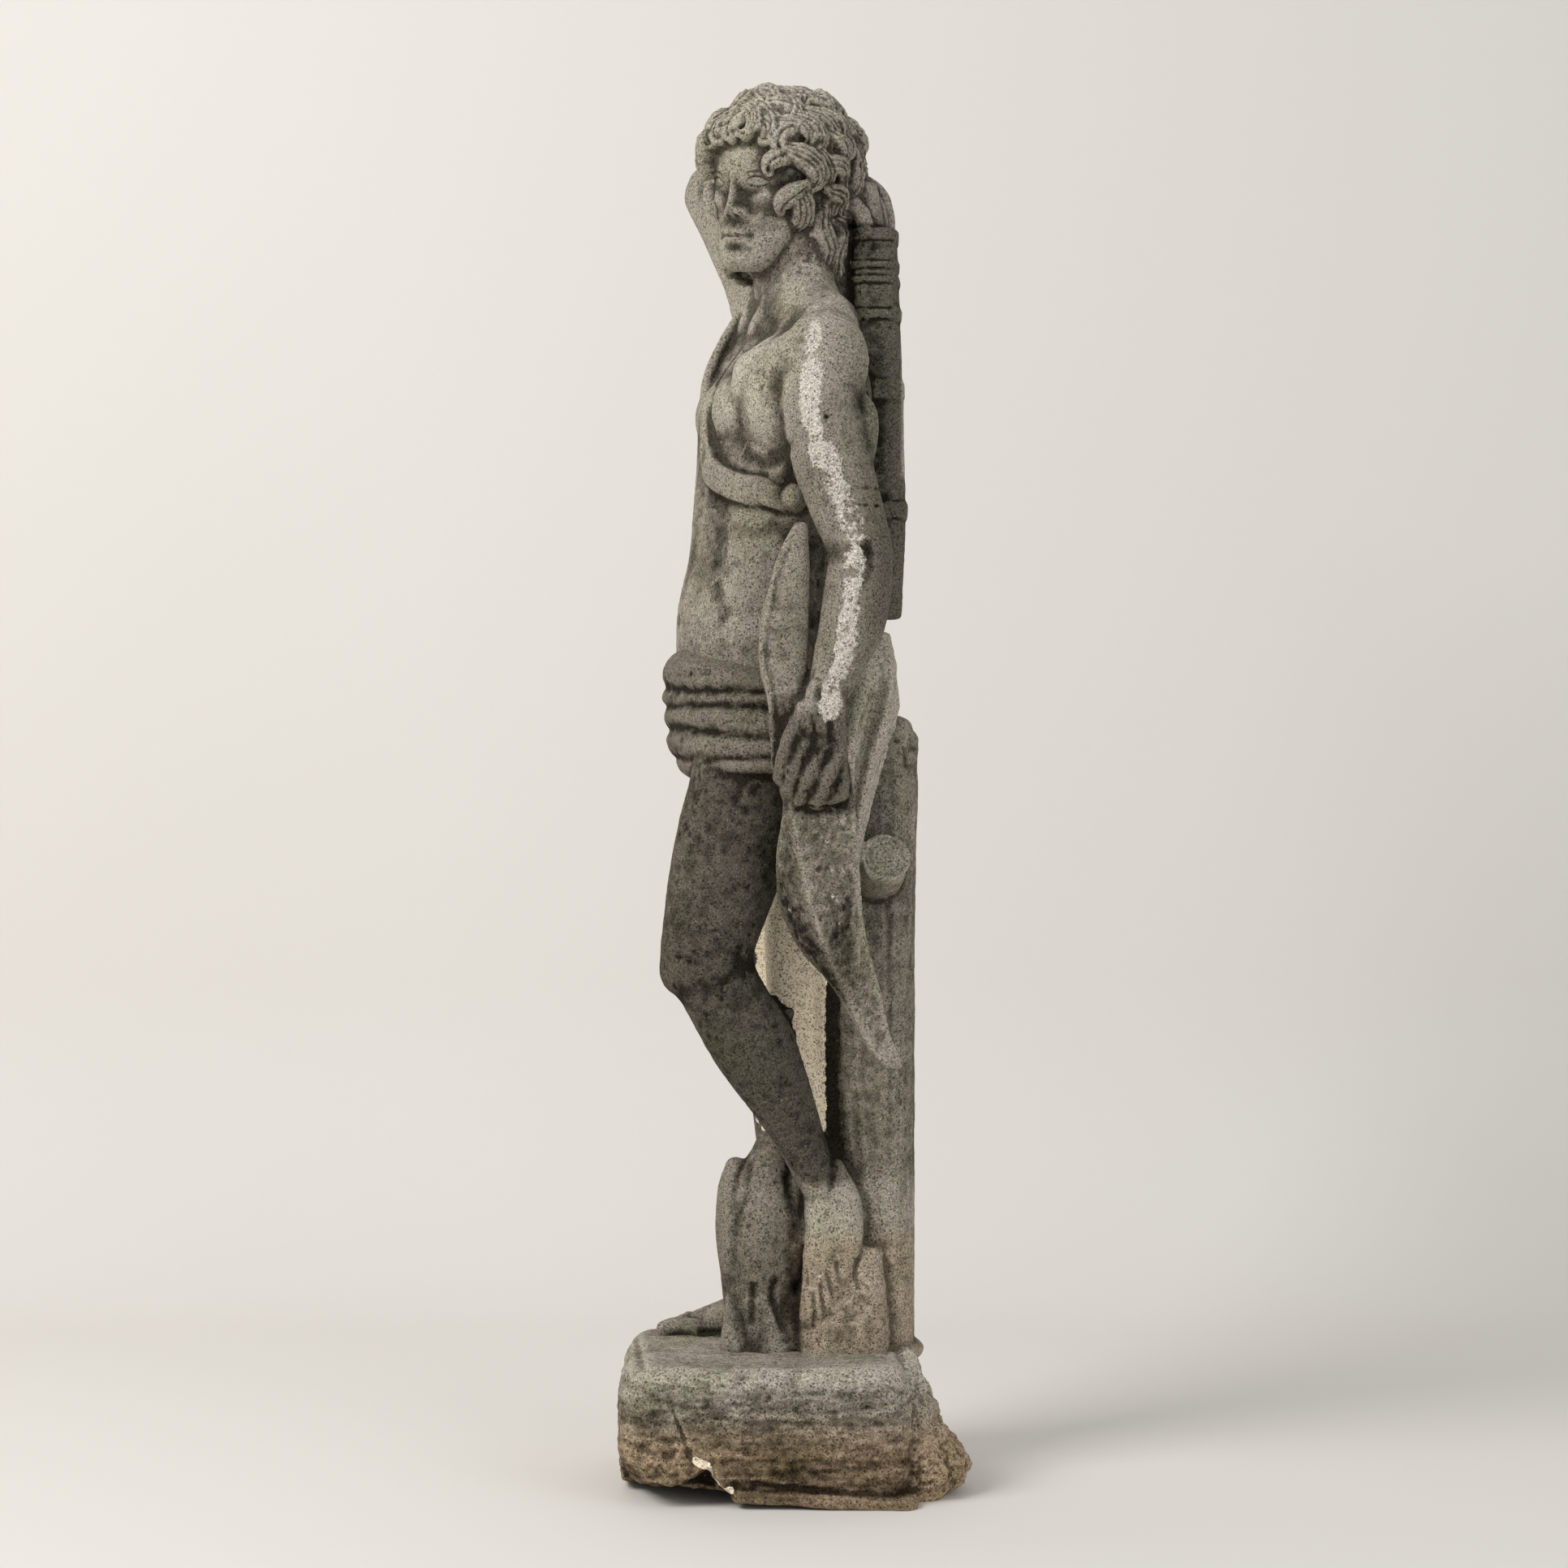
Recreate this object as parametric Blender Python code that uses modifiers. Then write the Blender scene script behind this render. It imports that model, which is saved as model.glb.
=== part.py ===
# Weathered garden statue: a curly-haired young archer with quiver, bow and a bird at the
# foot, leaning on a tree trunk and cast in one with a rough block plinth.
# Metres, +Z up. The figure's front faces -Y and its left side +X. The origin is the
# middle of the plinth's underside.
import math

import bpy
import bmesh
import numpy as np
from mathutils import Euler, Matrix, Vector

PLINTH_TOP = 0.160
PLINTH_HALF = (0.165, 0.171)
CHEST_TURN = 25
PELVIS_TURN = 9
HEAD_TURN = 50
HEAD_PITCH = 11
HEAD_LEAN = 7
HEAD_CENTRE = Vector((0.002, 0.016, 1.550))
BODY_VOXEL = 0.0045
BODY_FILLET = 0.009
VOXEL = 0.003
FILLET = 0.0020
TRIANGLES = 9300

# z, centre x, centre y, half breadth, depth to the front, depth to the back, turn to the left
TORSO = (
    (0.820, -0.012, -0.008, 0.110, 0.070, 0.085, PELVIS_TURN),
    (0.890, -0.014, -0.010, 0.134, 0.088, 0.106, PELVIS_TURN),
    (0.960, -0.014, -0.012, 0.130, 0.090, 0.098, PELVIS_TURN + 2),
    (1.030, -0.010, -0.014, 0.118, 0.090, 0.088, 14),
    (1.100, -0.006, -0.008, 0.110, 0.080, 0.086, 18),
    (1.170, -0.003, 0.002, 0.118, 0.081, 0.086, 22),
    (1.240, 0.000, 0.010, 0.134, 0.077, 0.094, CHEST_TURN),
    (1.310, 0.000, 0.018, 0.138, 0.076, 0.086, CHEST_TURN),
    (1.365, 0.000, 0.028, 0.112, 0.056, 0.062, CHEST_TURN),
    (1.405, 0.000, 0.035, 0.064, 0.045, 0.045, CHEST_TURN),
)


# The loincloth's rolls: height at the front, dip at the left hip, half breadth, depth to the
# front, half thickness and half height
ROLLS = (
    (0.970, -0.016, 0.136, 0.099, 0.017, 0.021), (0.938, -0.008, 0.144, 0.098, 0.011, 0.013),
    (0.913, -0.009, 0.150, 0.098, 0.014, 0.016), (0.884, -0.009, 0.155, 0.094, 0.013, 0.016),
    (0.858, -0.005, 0.155, 0.080, 0.010, 0.014),
)
# What is broken off the block: middle, size and turn in degrees of each lost piece
BROKEN = (
    ((0.1712, -0.003, -0.0102), (0.600, 0.800, 0.060), (-5.6, -12, 0)),
    ((0.150, -0.196, 0.026), (0.160, 0.090, 0.090), (40, -10, 12)),
    ((0.165, -0.060, 0.024), (0.060, 0.038, 0.056), (0, -20, 8)),
    ((-0.040, -0.178, 0.176), (0.420, 0.060, 0.030), (-14, 0, 5)),
)
MORTAR = (
    (0.060, 0.168, 0.120, 0.030), (0.100, 0.174, 0.095, 0.032), (0.100, 0.190, 0.062, 0.034),
    (0.080, 0.204, 0.044, 0.031), (0.040, 0.190, 0.040, 0.036), (-0.010, 0.180, 0.050, 0.034),
    (0.110, 0.176, 0.036, 0.030), (0.020, 0.176, 0.100, 0.030),
)


def through(rows, steps):
    """Rows of numbers on a smooth curve through the given rows."""
    rows = np.array(rows, float)
    ends = np.vstack([2 * rows[0] - rows[1], rows, 2 * rows[-1] - rows[-2]])
    out = []
    for a, b, c, d in zip(ends, ends[1:], ends[2:], ends[3:]):
        for t in np.arange(steps) / steps:
            bend = (2 * a - 5 * b + 4 * c - d) * t * t + (3 * b - a - 3 * c + d) * t**3
            out.append(0.5 * (2 * b + (c - a) * t + bend))
    out.append(rows[-1])
    return np.array(out)


def skin(clay, rings, closed=False):
    """Faces between rings of the same number of points, with both ends closed."""
    made = [[clay.verts.new(p) for p in ring] for ring in rings]
    count = len(made[0])
    pairs = list(zip(made, made[1:])) + ([(made[-1], made[0])] if closed else [])
    for low, high in pairs:
        for i in range(count):
            j = (i + 1) % count
            clay.faces.new((low[i], low[j], high[j], high[i]))
    if not closed:
        clay.faces.new(made[0][::-1])
        clay.faces.new(made[-1])


def section(centre, side, fore, breadth, front, back, sides, square=2.0):
    points = []
    for i in range(sides):
        a = 2 * math.pi * i / sides
        c, s = math.cos(a), math.sin(a)
        u = math.copysign(abs(c) ** (2 / square), c) * breadth
        v = math.copysign(abs(s) ** (2 / square), s) * (front if s > 0 else back)
        points.append(centre + side * u + fore * v)
    return points


def limb(clay, rows, fore, steps=5, sides=20, square=2.0, dome=0.7, closed=False):
    """A loft along a path of (x, y, z, half breadth, depth forward, depth back)."""
    full = [tuple(r) + ((r[3],) if len(r) == 4 else ()) for r in rows]
    full = [tuple(r) + ((r[4],) if len(r) == 5 else ()) for r in full]
    path = through(full + full[:1], steps)[:-1] if closed else through(full, steps)
    rings = []
    last = len(path) - 1
    for i, row in enumerate(path):
        ahead = path[(i + 1) % len(path)] if closed else path[min(i + 1, last)]
        behind = path[i - 1] if closed else path[max(i - 1, 0)]
        along = Vector(ahead[:3] - behind[:3]).normalized()
        out = Vector(fore(row) if callable(fore) else fore)
        out = (out - along * out.dot(along)).normalized()
        side = along.cross(out)
        centre = Vector(row[:3])
        ring = (centre, side, out, along, row[3:6])
        if closed or 0 < i < last:
            rings.append(section(centre, side, out, *row[3:6], sides, square))
            continue
        way = -1 if i == 0 else 1
        cap = []
        for k in (0, 30, 55, 75, 87):
            thin = max(math.cos(math.radians(k)), 0.08)
            shift = along * (way * dome * min(row[3:6]) * math.sin(math.radians(k)))
            cap.append(section(centre + shift, side, out, *(row[3:6] * thin), sides, square))
        rings += cap[::-1] if i == 0 else cap
    skin(clay, rings, closed)


def egg(clay, centre, radii, turn=(0, 0, 0), around=24, up=14):
    """An ellipsoid, turned by degrees about X, Y and Z."""
    spin = Euler([math.radians(a) for a in turn]).to_matrix().to_4x4()
    grow = Matrix.Diagonal((*radii, 1))
    bmesh.ops.create_uvsphere(
        clay, u_segments=around, v_segments=up, radius=1, matrix=Matrix.Translation(centre) @ spin @ grow
    )


def torso_row(z):
    rows = np.array(TORSO)
    return [float(np.interp(z, rows[:, 0], rows[:, k])) for k in range(1, 7)]


def on_torso(angle, z, lift=0.0):
    """The point of the torso's surface at this bearing from its front, toward its left."""
    x, y, breadth, front, back, turn = torso_row(z)
    a = math.radians(angle)
    u, v = math.sin(a), math.cos(a)
    reach = 1 / math.hypot(u / breadth, v / (front if v > 0 else back)) + lift
    t = math.radians(turn)
    left, fore = Vector((math.cos(t), math.sin(t), 0)), Vector((math.sin(t), -math.cos(t), 0))
    return Vector((x, y, z)) + (left * u + fore * v) * reach


# The body

def torso(clay):
    rings = []
    for row in through(TORSO, 5):
        t = math.radians(row[6])
        left, fore = Vector((math.cos(t), math.sin(t), 0)), Vector((math.sin(t), -math.cos(t), 0))
        centre = Vector((row[1], row[2], row[0]))
        rings.append(section(centre, left, fore, *row[3:6], 32, 2.15))
    skin(clay, rings)
    turn = (0, 0, CHEST_TURN)
    for side in (-1, 1):
        egg(clay, on_torso(36 * side, 1.272, -0.024), (0.064, 0.032, 0.047),
            (0, 12 * side, CHEST_TURN + 18 * side))
        egg(clay, on_torso(138 * side, 1.290, -0.030), (0.050, 0.036, 0.062), turn)
        egg(clay, on_torso(90 * side, 1.200, -0.030), (0.034, 0.050, 0.085), turn)
        egg(clay, on_torso(150 * side, 0.890, -0.048), (0.062, 0.062, 0.068), (0, 0, PELVIS_TURN))
        # The slope from the neck to the point of the shoulder.
        limb(clay, [(0.020 * side, 0.052, 1.450, 0.024),
                    (0.052 * side, 0.052 + 0.012 * side, 1.402, 0.034),
                    (0.088 * side, 0.046 + 0.026 * side, 1.378, 0.036),
                    (0.118 * side, 0.042 + 0.030 * side, 1.362, 0.034)], (0, -1, 0))


def neck(clay):
    limb(clay, [(-0.002, 0.044, 1.360, 0.056, 0.050, 0.052), (0.000, 0.040, 1.410, 0.052, 0.052, 0.052),
                (0.004, 0.034, 1.460, 0.050, 0.052, 0.052), (0.004, 0.024, 1.520, 0.050, 0.050, 0.055)],
         (0, -1, 0))
    for start, end in (((0.030, -0.010, 1.372), (0.030, 0.062, 1.485)), ((-0.012, -0.022, 1.380),
                                                                         (-0.045, 0.020, 1.485))):
        limb(clay, [(*start, 0.012), (*((Vector(start) + Vector(end)) / 2), 0.014), (*end, 0.013)],
             (0, -1, 0))


def nape(clay):
    """The stone left between the neck, the shoulders and the quiver."""
    limb(clay, [(-0.020, 0.098, 1.300, 0.034), (-0.020, 0.092, 1.380, 0.030),
                (-0.020, 0.090, 1.460, 0.026)], (0, -1, 0), 3, 14)


def arms(clay):
    # The left arm hangs, a little bent, and the right one is raised and bent behind the head.
    limb(clay, [(0.105, 0.060, 1.345, 0.042), (0.138, 0.070, 1.326, 0.048),
                (0.156, 0.067, 1.270, 0.045, 0.046), (0.163, 0.076, 1.210, 0.040, 0.046),
                (0.168, 0.094, 1.150, 0.034, 0.042), (0.172, 0.112, 1.098, 0.032, 0.037)], (0, -1, 0))
    limb(clay, [(0.172, 0.112, 1.104, 0.031, 0.036), (0.177, 0.107, 1.056, 0.036, 0.039),
                (0.181, 0.100, 1.015, 0.035, 0.038), (0.186, 0.086, 0.975, 0.027, 0.031),
                (0.190, 0.072, 0.936, 0.022, 0.024)], (0, -1, 0))
    egg(clay, (0.143, 0.074, 1.320), (0.045, 0.047, 0.058))
    egg(clay, (0.150, 0.104, 1.215), (0.028, 0.024, 0.065), (-14, 0, 0))
    limb(clay, [(0.146, 0.046, 1.322, 0.038, 0.034), (0.118, 0.016, 1.318, 0.036, 0.032),
                (0.084, -0.012, 1.308, 0.034, 0.030)], (1, 0, 0))
    limb(clay, [(-0.105, 0.020, 1.350, 0.048), (-0.140, 0.010, 1.405, 0.050),
                (-0.172, -0.008, 1.460, 0.045), (-0.205, -0.032, 1.512, 0.042),
                (-0.236, -0.056, 1.555, 0.037), (-0.256, -0.072, 1.585, 0.035)], (0, -1, 0))
    limb(clay, [(-0.256, -0.072, 1.586, 0.034), (-0.222, -0.036, 1.594, 0.037),
                (-0.180, 0.004, 1.594, 0.034), (-0.125, 0.054, 1.586, 0.027),
                (-0.082, 0.092, 1.572, 0.024, 0.020)], (0, 0, 1))


def legs(clay):
    fore = (0, -1, 0)
    limb(clay, [(0.066, -0.002, 0.930, 0.070, 0.080), (0.073, -0.014, 0.840, 0.068, 0.073),
                (0.078, -0.036, 0.765, 0.062, 0.069), (0.081, -0.054, 0.700, 0.054, 0.062),
                (0.081, -0.066, 0.650, 0.046, 0.056), (0.079, -0.070, 0.615, 0.044, 0.054)], fore)
    limb(clay, [(0.079, -0.070, 0.632, 0.043, 0.050), (0.074, -0.050, 0.580, 0.043, 0.044, 0.052),
                (0.064, -0.016, 0.520, 0.046, 0.044, 0.054), (0.052, 0.016, 0.460, 0.038, 0.034, 0.042),
                (0.040, 0.044, 0.405, 0.028, 0.027, 0.029), (0.030, 0.066, 0.355, 0.025, 0.024, 0.026)],
         fore)
    egg(clay, (0.080, -0.094, 0.622), (0.030, 0.030, 0.038), (-15, 0, 0))
    limb(clay, [(-0.090, 0.002, 0.930, 0.070, 0.082), (-0.097, -0.002, 0.840, 0.068, 0.078),
                (-0.100, -0.004, 0.750, 0.061, 0.070), (-0.101, -0.002, 0.660, 0.050, 0.058),
                (-0.102, 0.000, 0.600, 0.044, 0.052), (-0.103, 0.008, 0.550, 0.042, 0.046, 0.050),
                (-0.105, 0.018, 0.490, 0.047, 0.044, 0.056), (-0.107, 0.020, 0.430, 0.040, 0.036, 0.046),
                (-0.108, 0.022, 0.350, 0.029, 0.028, 0.032), (-0.109, 0.024, 0.270, 0.025, 0.026, 0.029),
                (-0.110, 0.024, 0.215, 0.030, 0.032)], fore)
    egg(clay, (-0.101, -0.030, 0.592), (0.029, 0.026, 0.036))


def feet(clay):
    # The left foot stands on its toes on a wedge of rock, turned to the figure's left.
    limb(clay, [(0.024, 0.070, 0.372, 0.026, 0.025), (0.028, 0.079, 0.330, 0.034, 0.029),
                (0.040, 0.080, 0.290, 0.037, 0.025), (0.047, 0.075, 0.256, 0.035, 0.017),
                (0.049, 0.070, 0.236, 0.030, 0.012)], (1, 0, 0.4))
    egg(clay, (0.010, 0.098, 0.318), (0.026, 0.024, 0.028))
    for i in range(5):
        root = Vector((0.053, 0.049 + 0.0105 * i, 0.228 + 0.009 * i))
        reach = Vector((0.004, -0.003, -0.030 + 0.003 * i))
        size = 0.0095 if i == 0 else 0.0072
        limb(clay, [(*root, size), (*(root + reach * 0.6), size), (*(root + reach), size * 0.9)],
             (1, 0, 0), 3, 12)
    # The right foot lies flat, pointing forward.
    limb(clay, [(-0.108, 0.050, 0.182, 0.026, 0.024), (-0.110, 0.010, 0.190, 0.030, 0.036),
                (-0.112, -0.040, 0.180, 0.036, 0.024), (-0.114, -0.085, 0.170, 0.038, 0.015)], (0, 0, 1))
    for i in range(5):
        x = -0.084 - 0.0155 * i
        front = -0.136 + 0.007 * i
        size = 0.0105 if i == 0 else 0.008
        limb(clay, [(x, -0.085, 0.171, size), (x, (front - 0.085) / 2, 0.172, size),
                    (x, front + size, 0.167, size)], (0, 0, 1), 3, 12)


# The head, in its own frame: the face looks along -Y, and the origin is halfway up

def head_frame():
    lean = Matrix.Rotation(math.radians(-HEAD_LEAN), 4, "X")
    turn = Matrix.Rotation(math.radians(HEAD_TURN), 4, "Z") @ Matrix.Rotation(math.radians(HEAD_PITCH), 4,
                                                                              "X")
    return Matrix.Translation(HEAD_CENTRE) @ lean @ turn


def face(clay):
    rows = ((-0.101, -0.056, 0.022, 0.022, 0.030), (-0.088, -0.040, 0.040, 0.044, 0.050),
            (-0.066, -0.028, 0.053, 0.054, 0.060), (-0.036, -0.018, 0.061, 0.061, 0.068),
            (0.000, -0.010, 0.067, 0.066, 0.080), (0.030, -0.004, 0.070, 0.077, 0.086),
            (0.060, 0.000, 0.066, 0.072, 0.082), (0.084, 0.002, 0.046, 0.050, 0.062),
            (0.096, 0.004, 0.020, 0.022, 0.030),)
    side, fore = Vector((1, 0, 0)), Vector((0, -1, 0))
    skin(clay, [section(Vector((0, r[1], r[0])), side, fore, *r[2:5], 28, 2.2) for r in through(rows, 4)])
    limb(clay, [(0, -0.072, 0.018, 0.008), (0, -0.080, -0.008, 0.0085), (0, -0.088, -0.032, 0.0105),
                (0, -0.083, -0.040, 0.010)], fore, 4, 14)
    egg(clay, (0, -0.079, -0.092), (0.019, 0.014, 0.014))
    for s in (-1, 1):
        egg(clay, (0.010 * s, -0.081, -0.040), (0.0075, 0.009, 0.0065))
        egg(clay, (0.031 * s, -0.060, 0.000), (0.0140, 0.0135, 0.0105))
        limb(clay, [(0.011 * s, -0.076, 0.016, 0.005), (0.031 * s, -0.072, 0.021, 0.006),
                    (0.052 * s, -0.054, 0.013, 0.006)], fore, 4, 10)
        egg(clay, (0.036 * s, -0.050, -0.030), (0.023, 0.018, 0.022))
    for z, size in ((-0.0585, 0.0056), (-0.0685, 0.0064)):
        limb(clay, [(-0.023, -0.066, z, 0.002), (-0.011, -0.0785, z, size), (0, -0.0800, z - 0.001, size),
                    (0.011, -0.0785, z, size), (0.023, -0.066, z, 0.002)], fore, 4, 10)


def curl(clay, centre, out, size, start, turns=1.3, sides=10):
    """A snail curl: a tapering tube wound toward its middle, standing off the scalp."""
    out = out.normalized()
    side = out.orthogonal().normalized()
    up = out.cross(side)
    rows = []
    steps = 11
    for i in range(steps):
        t = i / (steps - 1)
        a = start + 2 * math.pi * turns * t
        reach = size * (0.68 - 0.50 * t)
        p = centre + (side * math.cos(a) + up * math.sin(a)) * reach + out * (size * 0.35 * t)
        rows.append((*p, size * (0.36 - 0.12 * t)))
    limb(clay, rows, tuple(out), 2, sides)


def scalp_point(bearing, rise):
    """The hair's surface by bearing from the face, toward the left, and rise from the middle."""
    b, r = math.radians(bearing), math.radians(rise)
    way = Vector((math.sin(b) * math.cos(r), -math.cos(b) * math.cos(r), math.sin(r)))
    return Vector((0.077 * way.x, 0.098 * way.y + 0.008, 0.084 * way.z + 0.016)), way


def hair(clay):
    egg(clay, (0, 0.014, 0.020), (0.074, 0.093, 0.079))
    rng = np.random.default_rng(7)
    # rise, how far from the face the row starts, number of curls, their size, how far it stands off
    for rise, gap, count, size, lift in ((84, 0, 3, 0.021, 0.002), (62, 0, 8, 0.023, 0.006),
                                         (40, 9, 12, 0.025, 0.011), (15, 50, 9, 0.024, 0.005),
                                         (-10, 72, 8, 0.023, 0.002), (-34, 92, 7, 0.021, 0)):
        span = 360 - 2 * gap
        for i in range(count):
            bearing = gap + span * (i / (count - 1) if gap else i / count)
            point, way = scalp_point(bearing + rng.uniform(-4, 4), rise + rng.uniform(-4, 4))
            curl(clay, point + way * lift, way, size * rng.uniform(0.9, 1.12), rng.uniform(0, 6.3))
    # Longer locks down the nape, each ending in a ring.
    for bearing in range(96, 280, 22):
        top, way = scalp_point(bearing, -28)
        out = Vector((way.x, way.y, 0))
        tip = Vector((top.x * 0.86, top.y * 0.84, -0.098 - 0.012 * math.cos(math.radians(3 * bearing))))
        limb(clay, [(*top, 0.013), (*(top * 0.5 + tip * 0.5 + out * 0.006), 0.013), (*tip, 0.010)],
             tuple(out), 4, 12)
        curl(clay, tip + out * 0.004, out, 0.014, 0.5 * bearing, 1.1)


def head(clay):
    local = bmesh.new()
    face(local)
    hair(local)
    bmesh.ops.transform(local, matrix=head_frame(), verts=local.verts[:])
    made = bpy.data.meshes.new("head")
    local.to_mesh(made)
    local.free()
    clay.from_mesh(made)
    bpy.data.meshes.remove(made)


# What the figure wears and holds

def strap(clay):
    """The baldric, from the right shoulder down the breast and round under the left breast."""
    way = ((-62, 1.392), (-44, 1.352), (-27, 1.308), (-14, 1.262), (-4, 1.228), (14, 1.202), (36, 1.186),
           (62, 1.174), (88, 1.170), (116, 1.205), (142, 1.270), (165, 1.330), (190, 1.370))
    rows = [(*on_torso(a, z, 0.004), 0.017, 0.007) for a, z in way]
    centre = Vector((0, 0.015, 0))
    limb(clay, rows, lambda row: Vector((row[0], row[1], 0)) - centre, 5, 14)
    egg(clay, on_torso(84, 1.166, 0.008), (0.018, 0.016, 0.017))


def loincloth(clay):
    """A cloth wound low round the hips in five rolls."""
    fore = (math.sin(math.radians(PELVIS_TURN)), -math.cos(math.radians(PELVIS_TURN)), 0)
    base = [(-0.010, -0.012, 0.850, 0.136, 0.072, 0.096), (-0.010, -0.012, 0.890, 0.142, 0.090, 0.106),
            (-0.013, -0.012, 0.972, 0.130, 0.092, 0.100)]
    limb(clay, base, fore, 4, 32, 2.2, 0.1)
    for z, dip, breadth, front, thick, tall in ROLLS:
        rows = []
        for i in range(20):
            a = 2 * math.pi * i / 20
            u, v = breadth * math.sin(a), -math.cos(a) * (front if math.cos(a) > 0 else 0.108)
            x, y = -0.010 - fore[1] * u - fore[0] * v, -0.012 + fore[0] * u - fore[1] * v
            rows.append((x, y, z + dip * math.sin(a) + 0.003 * math.sin(3 * a + 60 * z), thick, tall))
        limb(clay, rows, (0, 0, 1), 3, 12, closed=True)


def drapery(clay):
    """The loincloth's end, hanging in folds behind the left forearm."""
    limb(clay, [(0.084, 0.092, 1.000, 0.020, 0.030), (0.092, 0.104, 0.940, 0.024, 0.034),
                (0.094, 0.104, 0.880, 0.024, 0.030), (0.096, 0.104, 0.800, 0.018, 0.020),
                (0.098, 0.104, 0.730, 0.012, 0.010)], (0, -1, 0), 4, 14)
    # The top and bottom of each fold, and its half breadth
    for top, middle, foot, size in (((0.104, 0.050, 0.990), (0.132, 0.074, 0.900), (0.112, 0.090, 0.770),
                                     0.011), ((0.108, 0.078, 1.000), (0.128, 0.098, 0.905),
                                              (0.110, 0.098, 0.745), 0.012), ((0.100, 0.104, 1.005),
                                                                              (0.120, 0.122, 0.910),
                                                                              (0.106, 0.108, 0.735),
                                                                              0.012),
                                    ((0.082, 0.122, 1.005), (0.102, 0.142, 0.925), (0.102, 0.118, 0.760),
                                     0.012), ((0.058, 0.124, 1.000), (0.078, 0.146, 0.920),
                                              (0.088, 0.122, 0.750), 0.012)):
        limb(clay, [(*top, size * 0.8), (*middle, size), (*foot, size * 0.6)], (0, -1, 0), 6, 12)


def quiver(clay):
    rows = [(-0.022, 0.134, 1.034, 0.034, 0.030), (-0.022, 0.136, 1.160, 0.038, 0.032),
            (-0.022, 0.133, 1.330, 0.041, 0.031), (-0.022, 0.130, 1.494, 0.042, 0.028)]
    limb(clay, rows, (0, -1, 0), 4, 24, 3.2, 0.1)
    for z, tall in ((1.488, 0.009), (1.457, 0.005), (1.398, 0.006), (1.308, 0.010), (1.150, 0.010)):
        y = float(np.interp(z, (1.034, 1.160, 1.330, 1.494), (0.134, 0.136, 0.133, 0.130)))
        limb(clay, [(-0.022, y, z - tall, 0.043, 0.034), (-0.022, y, z + tall, 0.044, 0.034)], (0, -1, 0),
             1, 24, 3.2, 0.1)


def right_hand(clay):
    limb(clay, [(-0.092, 0.086, 1.573, 0.022, 0.018), (-0.062, 0.100, 1.562, 0.030, 0.016),
                (-0.020, 0.106, 1.548, 0.030, 0.014)], (0, 0, 1), 4, 16)
    # What is left of the arrows, a worn lump in the mouth of the quiver.
    limb(clay, [(-0.022, 0.126, 1.480, 0.036, 0.022), (-0.022, 0.118, 1.545, 0.030, 0.018)], (0, -1, 0),
         3, 14)
    # The fingers bend over the quiver's back rim, each nearer one a little lower.
    for i in range(4):
        x = -0.046 + 0.021 * i
        y, z = -0.0085 * i, -0.010 * i
        limb(clay, [(x, 0.096 + y * 0.5, 1.560 + z * 0.6, 0.0100), (x, 0.122 + y, 1.558 + z, 0.0108),
                    (x, 0.140 + y, 1.541 + z, 0.0105), (x, 0.147 + y, 1.512 + z * 0.8, 0.0098),
                    (x, 0.147 + y, 1.488, 0.0090)], (0, 1, 0), 4, 12)


def left_hand(clay):
    limb(clay, [(0.190, 0.072, 0.940, 0.021, 0.022), (0.196, 0.066, 0.912, 0.018, 0.030),
                (0.198, 0.062, 0.885, 0.016, 0.034)], (0, -1, 0), 4, 16)
    starts = ((0.036, 0.912), (0.054, 0.902), (0.072, 0.890), (0.088, 0.880))
    tips = ((0.016, 0.842), (0.024, 0.818), (0.038, 0.808), (0.056, 0.808))
    for (y, z), (tip_y, tip_z) in zip(starts, tips):
        knee_y, knee_z = y * 0.55 + tip_y * 0.45 - 0.006, z * 0.5 + tip_z * 0.5
        limb(clay, [(0.198, y, z, 0.0105), (0.204, knee_y, knee_z, 0.0110),
                    (0.196, tip_y, tip_z, 0.0095)], (1, 0, 0), 5, 12)
    limb(clay, [(0.186, 0.052, 0.925, 0.011), (0.176, 0.030, 0.905, 0.011), (0.168, 0.016, 0.880, 0.009)],
         (1, 0, 0), 4, 12)


def bow(clay):
    upper = [(0.178, 0.044, 1.128, 0.009, 0.006), (0.178, 0.036, 1.100, 0.015, 0.013),
             (0.178, 0.029, 1.060, 0.019, 0.018), (0.177, 0.022, 1.010, 0.022, 0.022),
             (0.176, 0.021, 0.970, 0.022, 0.021), (0.175, 0.027, 0.925, 0.020, 0.019),
             (0.174, 0.046, 0.875, 0.020, 0.026)]
    lower = [(0.174, 0.060, 0.850, 0.024, 0.036), (0.168, 0.064, 0.810, 0.028, 0.041),
             (0.156, 0.062, 0.760, 0.031, 0.047), (0.143, 0.066, 0.710, 0.031, 0.047),
             (0.127, 0.082, 0.655, 0.030, 0.040), (0.110, 0.104, 0.605, 0.028, 0.031),
             (0.092, 0.124, 0.555, 0.024, 0.022), (0.080, 0.140, 0.520, 0.020, 0.017),
             (0.076, 0.160, 0.506, 0.016, 0.014)]
    limb(clay, upper, (0, -1, 0), 5, 20, 2.4)
    limb(clay, lower, (0, -1, 0), 5, 20, 2.6)
    egg(clay, (0.086, 0.124, 0.560), (0.022, 0.012, 0.014))


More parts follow.
